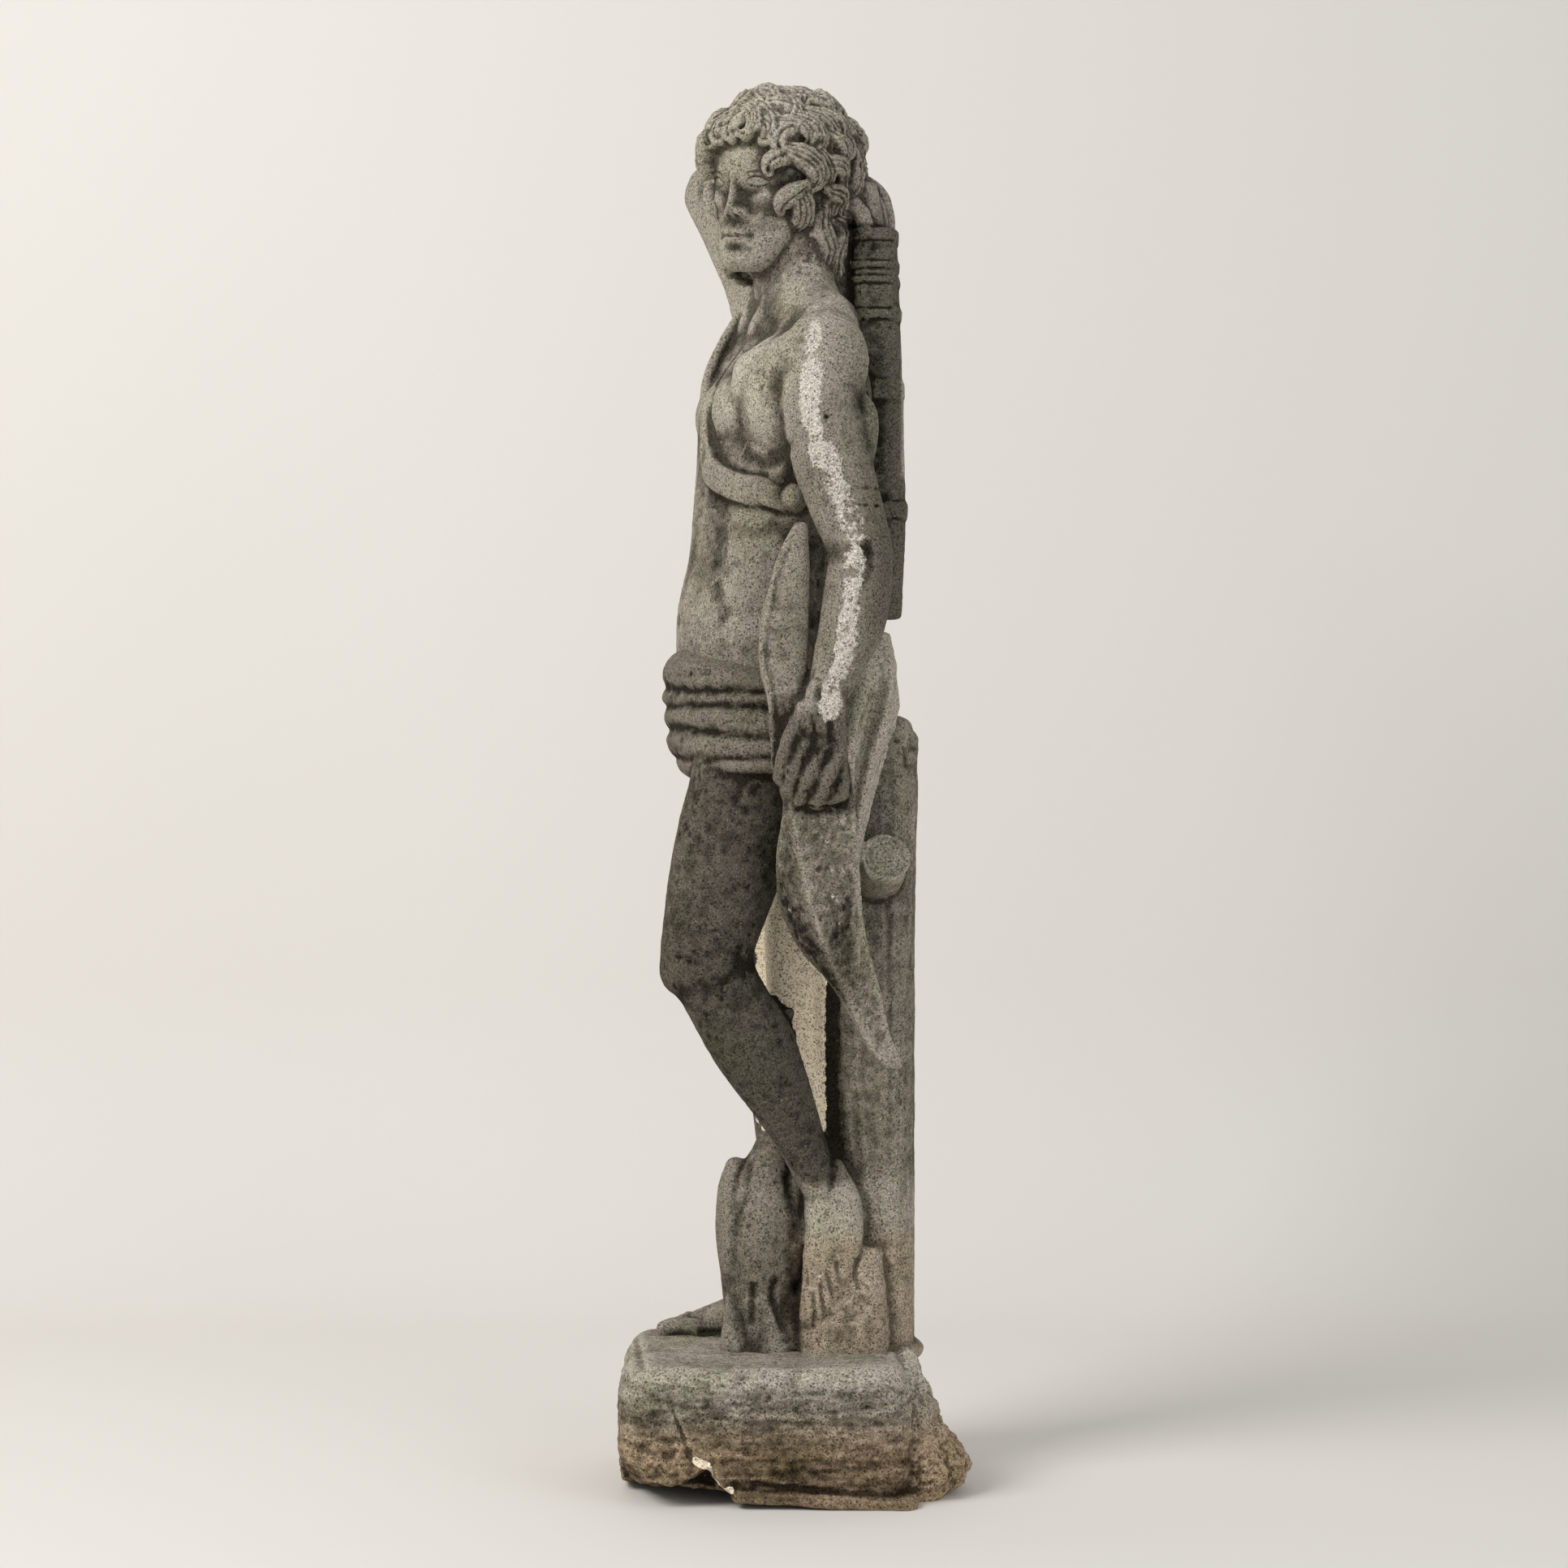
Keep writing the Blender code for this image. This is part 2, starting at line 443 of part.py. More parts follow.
def trunk(clay):
    rows = [(-0.046, 0.128, 0.150, 0.074, 0.070, 0.052), (-0.046, 0.130, 0.230, 0.068, 0.064, 0.050),
            (-0.045, 0.130, 0.360, 0.066, 0.064, 0.050), (-0.043, 0.130, 0.560, 0.068, 0.064, 0.050),
            (-0.040, 0.132, 0.720, 0.068, 0.062, 0.049), (-0.036, 0.136, 0.830, 0.064, 0.056, 0.048),
            (-0.032, 0.142, 0.896, 0.056, 0.044, 0.042)]
    limb(clay, rows, (0, -1, 0), 4, 28, 2.5, 0.25)
    limb(clay, [(0.000, 0.150, 0.870, 0.030, 0.024), (0.004, 0.160, 0.902, 0.024, 0.018)], (0, -1, 0), 3,
         14)
    # The web of stone left between the trunk and the standing leg, and the flat fill behind the knee.
    limb(clay, [(-0.078, 0.062, 0.190, 0.026, 0.030), (-0.080, 0.058, 0.500, 0.030, 0.034),
                (-0.076, 0.062, 0.830, 0.036, 0.040)], (0, -1, 0), 3, 14)
    limb(clay, [(-0.052, 0.056, 0.420, 0.030, 0.022), (-0.050, 0.040, 0.520, 0.032, 0.034),
                (-0.050, 0.034, 0.620, 0.032, 0.040), (-0.052, 0.036, 0.740, 0.030, 0.040)], (0, -1, 0),
         3, 16, 3.0)


def stub(clay):
    """The stub of a lopped branch, cut square across."""
    limb(clay, [(-0.010, 0.116, 0.690, 0.033), (0.044, 0.132, 0.722, 0.030), (0.078, 0.1415, 0.746, 0.029)],
         (0, 0, 1), 3, 24, 2.0, 0.04)


def bird(clay):
    """A bird standing at the right foot, its wings folded and its neck reaching up behind the shin."""
    limb(clay, [(-0.014, -0.006, 0.196, 0.030, 0.032), (-0.014, -0.006, 0.240, 0.043, 0.046),
                (-0.016, -0.005, 0.285, 0.047, 0.050), (-0.018, -0.002, 0.335, 0.038, 0.042),
                (-0.022, 0.002, 0.375, 0.024, 0.026), (-0.028, 0.006, 0.410, 0.015, 0.016),
                (-0.032, 0.014, 0.436, 0.016, 0.017)], (1, 0, 0), 5, 20)
    egg(clay, (-0.034, 0.024, 0.446), (0.016, 0.020, 0.015))
    limb(clay, [(-0.030, 0.034, 0.444, 0.008), (-0.024, 0.050, 0.434, 0.003)], (0, 0, 1), 3, 10)
    for side in (-1, 1):
        y = -0.006 + 0.030 * side
        limb(clay, [(-0.020, y, 0.368, 0.018, 0.014), (-0.016, y + 0.008 * side, 0.330, 0.034, 0.016),
                    (-0.014, y + 0.010 * side, 0.275, 0.036, 0.015),
                    (-0.014, y + 0.002 * side, 0.215, 0.022, 0.012)], (0, side, 0), 4, 14)
        limb(clay, [(0.000, -0.004 + 0.034 * side, 0.205, 0.012),
                    (0.006, -0.004 + 0.036 * side, 0.180, 0.013),
                    (0.014, -0.002 + 0.038 * side, 0.164, 0.015, 0.010)], (1, 0, 0), 4, 12)
    limb(clay, [(0.014, 0.002, 0.238, 0.012, 0.012), (0.018, 0.004, 0.200, 0.015, 0.014),
                (0.022, 0.006, 0.160, 0.024, 0.018)], (1, 0, 0), 4, 14)


def rock(clay):
    """The wedge of rock under the raised left foot."""
    limb(clay, [(-0.010, 0.096, 0.150, 0.053, 0.063, 0.050), (-0.010, 0.096, 0.200, 0.052, 0.062, 0.050),
                (-0.011, 0.100, 0.245, 0.046, 0.059, 0.040), (-0.012, 0.112, 0.284, 0.028, 0.048, 0.030)],
         (1, 0, 0), 4, 18, 3.6, 0.2)
    # Stone left between the rock and the bird.
    limb(clay, [(-0.012, 0.034, 0.165, 0.020), (-0.014, 0.036, 0.250, 0.018),
                (-0.018, 0.040, 0.330, 0.014)], (1, 0, 0), 3, 12)
    limb(clay, [(-0.020, -0.004, 0.160, 0.036, 0.020), (-0.020, -0.004, 0.215, 0.034, 0.020)], (1, 0, 0),
         3, 14)


def plinth(clay):
    """The rough block, with its broken corner and edge, and mortar spilling from the back."""
    wide, deep = PLINTH_HALF
    block = bmesh.new()
    rows = [(0, 0, -0.012, deep - 0.002, wide - 0.002), (0, 0, 0.060, deep, wide),
            (0, 0, 0.120, deep, wide), (0, 0, 0.150, deep - 0.003, wide - 0.004),
            (0, 0, PLINTH_TOP, deep - 0.014, wide - 0.014)]
    limb(block, rows, (1, 0, 0), 3, 48, 9.0, 0.0)
    made = new_object("block", block, bpy.context.scene.collection)
    gone = [broken_piece(*piece) for piece in BROKEN]
    for piece in gone:
        cut = made.modifiers.new("Break", "BOOLEAN")
        cut.operation, cut.object = "DIFFERENCE", piece
    bake(made)
    add_mesh(clay, made)
    for piece in gone:
        bpy.data.objects.remove(piece)
    # The smooth lower band with its round end.
    limb(clay, [(0.140, -0.030, 0.016, 0.028, 0.010), (0.140, 0.080, 0.010, 0.029, 0.010),
                (0.140, 0.166, 0.003, 0.029, 0.012)], (0, 0, 1), 4, 16, 4.0, 1.0)
    for x, y, z, r in MORTAR:
        egg(clay, (x, y, z), (r * 1.2, r, r))


def broken_piece(place, size, turn):
    shape = bmesh.new()
    spin = Euler([math.radians(a) for a in turn]).to_matrix().to_4x4()
    bmesh.ops.create_cube(shape, size=1,
                          matrix=Matrix.Translation(place) @ spin @ Matrix.Diagonal((*size, 1)))
    return new_object("broken_piece", shape, bpy.context.scene.collection)


# Putting the stone together

def new_object(name, clay, collection):
    mesh = bpy.data.meshes.new(name)
    clay.to_mesh(mesh)
    clay.free()
    made = bpy.data.objects.new(name, mesh)
    collection.objects.link(made)
    return made


def bake(obj):
    """Gives the object its evaluated mesh and clears its modifiers."""
    graph = bpy.context.evaluated_depsgraph_get()
    graph.update()
    mesh = bpy.data.meshes.new_from_object(obj.evaluated_get(graph))
    old = obj.data
    obj.modifiers.clear()
    obj.data = mesh
    bpy.data.meshes.remove(old)


def fuse(obj, voxel, fillet, smoothing):
    """Makes one skin of the overlapping forms and rounds the creases between them."""
    for shift in (0, fillet, -fillet):
        if shift:
            swell = obj.modifiers.new("Swell", "DISPLACE")
            swell.strength, swell.mid_level = shift, 0.0
        skin_over = obj.modifiers.new("Skin", "REMESH")
        skin_over.mode, skin_over.voxel_size = "VOXEL", voxel
    soften = obj.modifiers.new("Soften", "SMOOTH")
    soften.factor, soften.iterations = 0.5, smoothing
    bake(obj)


def add_mesh(clay, obj):
    clay.from_mesh(obj.data)
    bpy.data.objects.remove(obj)


def ground_cutter(collection):
    shape = bmesh.new()
    bmesh.ops.create_cube(shape, size=1,
                          matrix=Matrix.Translation((0, 0, -0.25)) @ Matrix.Diagonal((2, 2, 0.5, 1)))
    cutter = new_object("ground", shape, collection)
    cutter.hide_render = True
    cutter.display_type = "WIRE"
    return cutter


def stone():
    made = bpy.data.materials.new("weathered_stone")
    made.use_nodes = True
    shader = made.node_tree.nodes["Principled BSDF"]
    shader.inputs["Base Color"].default_value = (0.235, 0.215, 0.180, 1)
    shader.inputs["Roughness"].default_value = 0.9
    return made


def solid(collection):
    """The whole figure on its plinth as one closed skin."""
    body = bmesh.new()
    for form in (torso, neck, nape, arms, legs, trunk):
        form(body)
    flesh = new_object("flesh", body, collection)
    fuse(flesh, BODY_VOXEL, BODY_FILLET, 3)
    whole = bmesh.new()
    add_mesh(whole, flesh)
    for form in (head, feet, strap, loincloth, drapery, quiver, right_hand, left_hand, bow, stub, bird,
                 rock, plinth):
        form(whole)
    statue = new_object("statue", whole, collection)
    fuse(statue, VOXEL, FILLET, 2)
    return statue


def build():
    for old in list(bpy.data.objects):
        bpy.data.objects.remove(old)
    root = bpy.context.scene.collection
    parts, helpers = bpy.data.collections.new("garden_statue"), bpy.data.collections.new("cutters")
    for made in (parts, helpers):
        root.children.link(made)
    statue = solid(parts)
    fewer = statue.modifiers.new("Fewer", "DECIMATE")
    fewer.ratio = TRIANGLES / sum(len(p.vertices) - 2 for p in statue.data.polygons)
    bake(statue)
    cut = statue.modifiers.new("Underside", "BOOLEAN")
    cut.operation, cut.object = "DIFFERENCE", ground_cutter(helpers)
    statue.data.materials.append(stone())


if __name__ == "__main__":
    build()
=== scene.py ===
# A weathered garden statue in cast stone: a curly-haired young archer leaning on a tree trunk,
# with a quiver on the back, a bow in the lowered left hand and a bird at the right foot, all
# cast in one with a rough block. Metres, +Z up, the figure's front along -Y, its left along +X.
import math

import bmesh
import bpy
import numpy as np
from mathutils import Euler, Matrix, Vector
from mathutils.bvhtree import BVHTree


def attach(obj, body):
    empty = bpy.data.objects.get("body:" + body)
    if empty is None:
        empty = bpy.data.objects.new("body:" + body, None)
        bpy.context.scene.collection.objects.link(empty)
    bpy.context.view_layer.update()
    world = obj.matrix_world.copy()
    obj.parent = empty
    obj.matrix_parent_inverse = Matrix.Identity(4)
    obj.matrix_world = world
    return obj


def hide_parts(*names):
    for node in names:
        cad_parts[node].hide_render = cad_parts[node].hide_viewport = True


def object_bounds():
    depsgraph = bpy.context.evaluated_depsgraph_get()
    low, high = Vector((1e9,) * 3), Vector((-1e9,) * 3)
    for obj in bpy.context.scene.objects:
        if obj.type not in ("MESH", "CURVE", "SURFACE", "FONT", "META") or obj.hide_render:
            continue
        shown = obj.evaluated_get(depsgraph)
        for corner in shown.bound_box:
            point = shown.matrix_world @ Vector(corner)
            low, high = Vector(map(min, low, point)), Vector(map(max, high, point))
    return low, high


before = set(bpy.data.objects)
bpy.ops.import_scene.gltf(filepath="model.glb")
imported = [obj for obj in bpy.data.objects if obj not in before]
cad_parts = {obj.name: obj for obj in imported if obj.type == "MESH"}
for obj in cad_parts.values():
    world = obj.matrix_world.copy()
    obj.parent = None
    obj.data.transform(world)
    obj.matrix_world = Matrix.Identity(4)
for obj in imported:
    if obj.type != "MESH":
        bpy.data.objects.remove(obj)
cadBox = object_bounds()
print("frame loaded")

# what a user may change for the whole casting: lengths in millimetres, turns in degrees. The
# pieces' own tables are in millimetres as well, and mm() makes metres of them where they are used
casting = {
    "blockTop": 160,
    "blockHalf": (165, 171),
    "chestTurn": 25,
    "hipTurn": 9,
    "headTurn": 50,
    "headPitch": 11,
    "headLean": 7,
    "headCentre": (2, 16, 1550),
}

ahead, leftward, upward = (0, -1, 0), (1, 0, 0), (0, 0, 1)


def mm(values):
    return [mm(v) for v in values] if isinstance(values, (tuple, list)) else values / 1000


def heading(degrees):
    # the figure's left and its front, turned this far toward its left
    t = math.radians(degrees)
    return Vector((math.cos(t), math.sin(t), 0)), Vector((math.sin(t), -math.cos(t), 0))


# clay: lofts and balls laid over each other, fused later into one skin

def smoothRows(rows, steps):
    rows = np.array(rows, float)
    ends = np.vstack([2 * rows[0] - rows[1], rows, 2 * rows[-1] - rows[-2]])
    out = []
    for a, b, c, d in zip(ends, ends[1:], ends[2:], ends[3:]):
        for t in np.arange(steps) / steps:
            bend = (2 * a - 5 * b + 4 * c - d) * t * t + (3 * b - a - 3 * c + d) * t**3
            out.append(0.5 * (2 * b + (c - a) * t + bend))
    out.append(rows[-1])
    return np.array(out)


def skinRings(clay, rings):
    made = [[clay.verts.new(p) for p in ring] for ring in rings]
    for low, high in zip(made, made[1:]):
        for i in range(len(low)):
            clay.faces.new((low[i - 1], low[i], high[i], high[i - 1]))
    clay.faces.new(made[0][::-1])
    clay.faces.new(made[-1])


def ringPoints(centre, side, fore, breadth, front, back, sides, square=2.0):
    points = []
    for i in range(sides):
        a = 2 * math.pi * i / sides
        c, s = math.cos(a), math.sin(a)
        u = math.copysign(abs(c) ** (2 / square), c) * breadth
        v = math.copysign(abs(s) ** (2 / square), s) * (front if s > 0 else back)
        points.append(centre + side * u + fore * v)
    return points


def loft(clay, rows, fore=ahead, steps=6, sides=24, square=2.0, dome=0.7):
    # along (x, y, z, half breadth, depth forward, depth back), with rounded ends; a short row
    # repeats its last size
    path = smoothRows([(*row, *[row[-1]] * (6 - len(row))) for row in rows], steps)
    rings = []
    last = len(path) - 1
    for i, row in enumerate(path):
        along = Vector(path[min(i + 1, last)][:3] - path[max(i - 1, 0)][:3]).normalized()
        out = Vector(fore(row) if callable(fore) else fore)
        out = (out - along * out.dot(along)).normalized()
        side = along.cross(out)
        centre = Vector(row[:3])
        if 0 < i < last:
            rings.append(ringPoints(centre, side, out, *row[3:6], sides, square))
            continue
        way = -1 if i == 0 else 1
        cap = []
        for k in (0, 30, 55, 75, 87):
            thin = max(math.cos(math.radians(k)), 0.08)
            shift = along * (way * dome * min(row[3:6]) * math.sin(math.radians(k)))
            cap.append(ringPoints(centre + shift, side, out, *(row[3:6] * thin), sides, square))
        rings += cap[::-1] if i == 0 else cap
    skinRings(clay, rings)


def form(clay, rows, *how):
    loft(clay, mm(rows), *how)


def egg(clay, centre, radii, turn=(0, 0, 0), around=28, up=16):
    spin = Euler([math.radians(a) for a in turn]).to_matrix().to_4x4()
    place = Matrix.Translation(centre) @ spin @ Matrix.Diagonal((*radii, 1))
    bmesh.ops.create_uvsphere(clay, u_segments=around, v_segments=up, radius=1, matrix=place)


def ball(clay, centre, radii, *how):
    egg(clay, mm(centre), mm(radii), *how)


def addObject(name, data):
    made = bpy.data.objects.new(name, data)
    bpy.context.scene.collection.objects.link(made)
    return made


def makeObject(name, clay):
    mesh = bpy.data.meshes.new(name)
    clay.to_mesh(mesh)
    clay.free()
    return addObject(name, mesh)


def bakeModifiers(obj):
    graph = bpy.context.evaluated_depsgraph_get()
    graph.update()
    mesh = bpy.data.meshes.new_from_object(obj.evaluated_get(graph))
    old = obj.data
    obj.modifiers.clear()
    obj.data = mesh
    bpy.data.meshes.remove(old)


def fuse(obj, voxel, crease, smoothing):
    # one skin round everything, with the inner creases rounded
    voxel, crease = mm((voxel, crease))
    voxel = voxel
    for shift in (0, crease, -crease):
        if shift:
            swell = obj.modifiers.new("swell", "DISPLACE")
            swell.strength, swell.mid_level = shift, 0.0
        over = obj.modifiers.new("skin", "REMESH")
        over.mode, over.voxel_size = "VOXEL", voxel
    soften = obj.modifiers.new("soften", "SMOOTH")
    soften.factor, soften.iterations = 0.5, smoothing
    bakeModifiers(obj)


def pressInto(clay, obj):
    clay.from_mesh(obj.data)
    bpy.data.objects.remove(obj)


def fusedForms(name, parts, voxel, crease, smoothing, clay=None):
    clay = bmesh.new() if clay is None else clay
    for part in parts:
        part(clay)
    made = makeObject(name, clay)
    fuse(made, voxel, crease, smoothing)
    return made


def thinOut(obj, triangles):
    now = sum(len(p.vertices) - 2 for p in obj.data.polygons)
    if now > triangles:
        fewer = obj.modifiers.new("fewer", "DECIMATE")
        fewer.ratio = triangles / now
        bakeModifiers(obj)
    obj.data.polygons.foreach_set("use_smooth", np.ones(len(obj.data.polygons), bool))


# sculpting: the fused skin's points are pushed in and out along their normals

def readAll(items, name, width, kind=float):
    values = np.empty(len(items) * width, kind)
    items.foreach_get(name, values)
    return values.reshape(-1, width)


class Skin:
    def __init__(self, obj):
        self.mesh = obj.data
        self.co = readAll(self.mesh.vertices, "co", 3)
        self.edges = readAll(self.mesh.edges, "vertices", 2, np.int64)
        self.normal = readAll(self.mesh.vertices, "normal", 3)
        self.tree = BVHTree.FromObject(obj, bpy.context.evaluated_depsgraph_get())

    def settle(self):
        self.mesh.vertices.foreach_set("co", self.co.ravel())
        self.mesh.update()
        self.normal = readAll(self.mesh.vertices, "normal", 3)

    def land(self, start, way):
        hit = self.tree.ray_cast(Vector(start), Vector(way).normalized())[0]
        return None if hit is None else np.array(hit)

    def spread(self, values):
        # each point's mean over its neighbours
        a, b = self.edges[:, 0], self.edges[:, 1]
        count = len(self.co)
        near = np.bincount(a, minlength=count) + np.bincount(b, minlength=count)
        return np.stack([(np.bincount(a, v[b], count) + np.bincount(b, v[a], count)) / near
                         for v in values.T], 1)


def closeTo(co, line, reach):
    # which points lie within reach of the line, how far off, and how far along it (0 to 1)
    line = np.array(line, float)
    low, high = line.min(0) - reach, line.max(0) + reach
    near = np.nonzero(((co > low) & (co < high)).all(1))[0]
    if not len(near) or len(line) < 2:
        return near[:0], np.zeros(0), np.zeros(0)
    points = co[near]
    best = np.full(len(near), 1e9)
    along = np.zeros(len(near))
    length = np.concatenate([[0], np.cumsum(np.linalg.norm(np.diff(line, axis=0), axis=1))])
    for i, (a, b) in enumerate(zip(line, line[1:])):
        step = b - a
        size = max(step @ step, 1e-12)
        t = np.clip((points - a) @ step / size, 0, 1)
        off = np.linalg.norm(points - a - t[:, None] * step, axis=1)
        closer = off < best
        best[closer] = off[closer]
        along[closer] = (length[i] + t[closer] * math.sqrt(size)) / length[-1]
    keep = best < reach
    return near[keep], best[keep], along[keep]


def carve(skin, line, width, depth, taper=0.25, sharp=2.0):
    # a groove along the line, or a ridge where depth is negative
    line = [p for p in line if p is not None]
    if len(line) < 2:
        return
    who, off, along = closeTo(skin.co, smoothRows(line, 5), width)
    fade = np.clip(np.minimum(along, 1 - along) / max(taper, 1e-3), 0, 1) if taper else 1.0
    amount = depth * (1 - (off / width) ** sharp) ** 2 * np.sqrt(fade)
    skin.co[who] -= skin.normal[who] * amount[:, None]


def dab(skin, at, radius, amount):
    # swells (or hollows, where amount is negative) the skin round a place
    if at is None:
        return
    off = (skin.co - np.array(at)) / np.array(radius)
    who = np.nonzero((np.abs(off) < 2.4).all(1))[0]
    fall = np.exp(-(off[who] ** 2).sum(1))
    skin.co[who] += skin.normal[who] * (amount * fall)[:, None]


def rubDown(skin, at, reach, passes):
    # evens out the skin round one place, taking lumps off and filling hollows
    off = (((skin.co - np.array(mm(at))) / np.array(mm(reach)))**2).sum(1)
    who = np.flatnonzero(off < 1)
    local = np.full(len(skin.co), -1)
    local[who] = np.arange(len(who))
    a, b = local[skin.edges[:, 0]], local[skin.edges[:, 1]]
    inside = (a >= 0) & (b >= 0)
    a, b, count = a[inside], b[inside], len(who)
    near = np.maximum(np.bincount(a, minlength=count) + np.bincount(b, minlength=count), 1)
    share = 0.9 * np.clip(1.6 * (1 - off[who]), 0, 1)
    for _ in range(passes):
        place = skin.co[who]
        for k in range(3):
            mean = (np.bincount(a, place[b, k], count) + np.bincount(b, place[a, k], count)) / near
            skin.co[who, k] += (mean - place[:, k]) * share


def latticeValue(cell, seed):
    h = (cell[:, 0] * 73856093) ^ (cell[:, 1] * 19349663) ^ (cell[:, 2] * 83492791) ^ (seed * 2654435)
    h = (h ^ (h >> 13)) * 1274126177
    return ((h ^ (h >> 16)) & 0xFFFF) / 32767.5 - 1.0


def lumps(co, size, seed):
    # smooth random values from -1 to 1 that change over about this size
    p = co / np.array(size, float) + 100.0
    base = np.floor(p).astype(np.int64)
    t = p - base
    t = t * t * (3 - 2 * t)
    out = np.zeros(len(co))
    for dx in (0, 1):
        for dy in (0, 1):
            for dz in (0, 1):
                weight = (np.where(dx, t[:, 0], 1 - t[:, 0]) * np.where(dy, t[:, 1], 1 - t[:, 1])
                          * np.where(dz, t[:, 2], 1 - t[:, 2]))
                out += weight * latticeValue(base + np.array((dx, dy, dz)), seed)
    return out


def weatherSkin(skin, wear, seed):
    # broad waste of the surface, small lumps, and pits left by lost grit
    broad, small, deep = (wear[name] / 1000 for name in ("broad", "small", "pits"))
    move = broad * lumps(skin.co, 0.034, seed)
    move += small * (lumps(skin.co, 0.011, seed + 1) + 0.6 * lumps(skin.co, 0.0058, seed + 2))
    pits = lumps(skin.co, 0.0062, seed + 3) + 0.5 * lumps(skin.co, 0.021, seed + 4)
    move -= deep * np.clip(pits - 0.72, 0, 0.5) / 0.5
    skin.co += skin.normal * move[:, None]


def fromSide(skin, points):
    return [skin.land((0.6, y, z), (-1, 0, 0)) for y, z in points]


# the archer: head, body, arms, quiver and bow

archer = {
    "voxel": 1.6,
    "crease": 1.1,
    "fleshVoxel": 3.6,
    "fleshCrease": 12,
    "triangles": 196000,
    "wear": {"broad": 0.5, "small": 0.4, "pits": 0.7},
    "stone": {"name": "figureStone", "grains": 620, "pits": 330, "pitShare": 0.4, "patches": 26,
              "patchStrength": 0.07, "hollowStrength": 0.34, "relief": 1.2},
    "torso": (  # height, centre x and y, half breadth, depth to the front and back, turn
        (820, -12, -8, 110, 70, 85, 9), (890, -14, -10, 134, 88, 106, 9),
        (960, -14, -12, 130, 90, 98, 11), (1030, -10, -14, 118, 90, 88, 14),
        (1100, -6, -8, 110, 80, 86, 18), (1170, -3, 2, 118, 81, 86, 22), (1240, 0, 10, 134, 77, 94, 25),
        (1310, 0, 18, 138, 76, 86, 25), (1365, 0, 28, 112, 56, 62, 25), (1405, 0, 35, 64, 45, 45, 25)),
    "muscles": (  # bearings from the front, height, spread round and up, how far it swells
        ((30, -30), 1270, 38, 30, 3.5), ((58,), 1285, 30, 34, 2.8), ((8, -14), 1150, 18, 50, 2.1),
        ((12, -14), 1075, 22, 40, 1.7), ((66, -66), 1070, 34, 36, 2.8), ((70, -70), 1015, 30, 16, 3.5),
        ((40, -40), 1110, 16, 60, -2.1), ((64,), 1150, 30, 16, 2), ((70,), 1128, 26, 10, -1.4),
        ((62,), 1108, 28, 12, 1.5), ((100, -100), 1240, 30, 60, 2.8), ((140, -140), 1300, 40, 44, 3.5),
        ((160, -160), 1060, 20, 60, 2.8)),
    "rubbed": (  # middle, reach, passes of the wet sponge over the flesh
        ((95, 22, 1285), (62, 56, 100), 60), ((60, 44, 1392), (70, 62, 56), 60)),
    "strokes": (  # cut from the figure's left: (Y, Z) along each, width, depth (a ridge where below 0)
        (((-24, 1222), (-14, 1213), (8, 1210), (34, 1224)), 14, 3),
        (((42, 1392), (10, 1350), (-12, 1304)), 24, 3.4),
        (((-26, 1352), (-52, 1318), (-63, 1290), (-67, 1262), (-64, 1232), (-58, 1216)), 6, 2.2),
        (((-40, 1176), (-10, 1158), (20, 1146), (46, 1145)), 7, 2),
        (((-60, 1070), (-48, 1040), (-52, 1010)), 18, 2.2), (((2, 1021), (22, 1021), (50, 1021)), 13, -2),
        (((20, 800), (36, 803), (54, 807), (89, 808), (108, 803)), 3.8, 4),
        (((60, 955), (62, 930), (72, 905), (78, 880)), 8, 2.2),
        (((112, 1110), (118, 1080), (110, 1050)), 12, 2)),
    "drilled": ((-2, 1291, 3, 6), (71, 1250, 2.4, 3), (62, 735, 3, 3)),
    "shade": 0.55,
    "boxes": (  # mask, two corners, softness, amount
        ("shade", (-200, -200, 800), (160, 120, 1170), 60, 0.63),
        ("shade", (120, 30, 900), (250, 160, 1280), 30, 0.72),
        # soot and painted shade darken the quiver, and painted light lies on its back rim
        ("shade", (-120, 98, 1000), (120, 300, 1500), 8, 0.98),
        ("shade", (-120, 163, 1200), (120, 300, 1500), 6, 0.39),
        # painted shade in the deep gap between the upper bow limb and the arm
        ("shade", (20, 26, 970), (150, 120, 1150), 20, 0.95),
        ("shade", (150, -40, 900), (250, 60, 1150), 12, 0.66),
        ("shade", (60, -20, 795), (250, 140, 915), 14, 0.92),
        ("shade", (40, -20, 480), (250, 180, 800), 14, 0.51),
        # painted shade on the far, narrow side of the bow's lower limb
        ("shade", (40, -20, 580), (158, 100, 800), 10, 0.80)),
    "spots": (  # mask, middle, reach, how much is added
        # painted light on the lit breast, and a band of painted shade under it
        ("shade", (100, -20, 1300), (60, 50, 50), -0.22), ("shade", (100, 0, 1185), (90, 70, 20), 0.12),
        ("shade", (50, -90, 1160), (50, 50, 100), 0.10), ("shade", (60, 20, 1635), (130, 130, 60), -0.23),
        ("shade", (60, -20, 1520), (60, 50, 50), 0.05), ("shade", (40, 20, 1420), (100, 70, 30), -0.08),
        ("shade", (170, 70, 1240), (60, 50, 130), 0.10), ("shade", (170, 90, 1180), (50, 20, 100), -0.08),
        # painted shade on the back of the left forearm; the lichen spots are the stone's own colour
        ("shade", (190, 135, 1080), (60, 30, 120), 0.24), ("lichen", (60, 100, 1445), (50, 12, 14), 0.9),
        ("lichen", (160, 70, 755), (60, 22, 40), 0.30), ("lichen", (150, 85, 690), (60, 18, 50), 0.26)),
    "drip": (  # lichen down the left arm: (Y, Z) along each streak, width, cover
        (((56, 1357), (55, 1334)), 17, 0.70), (((52, 1307), (52, 1275), (53, 1240)), 20, 0.80),
        (((65, 1211), (82, 1174), (103, 1118)), 24, 0.64),
        (((103, 1093), (101, 1056), (98, 1032), (91, 988), (82, 950), (73, 918)), 20, 0.68)),
}


torsoRows = np.array([(*mm(row[:6]), row[6]) for row in archer["torso"]])


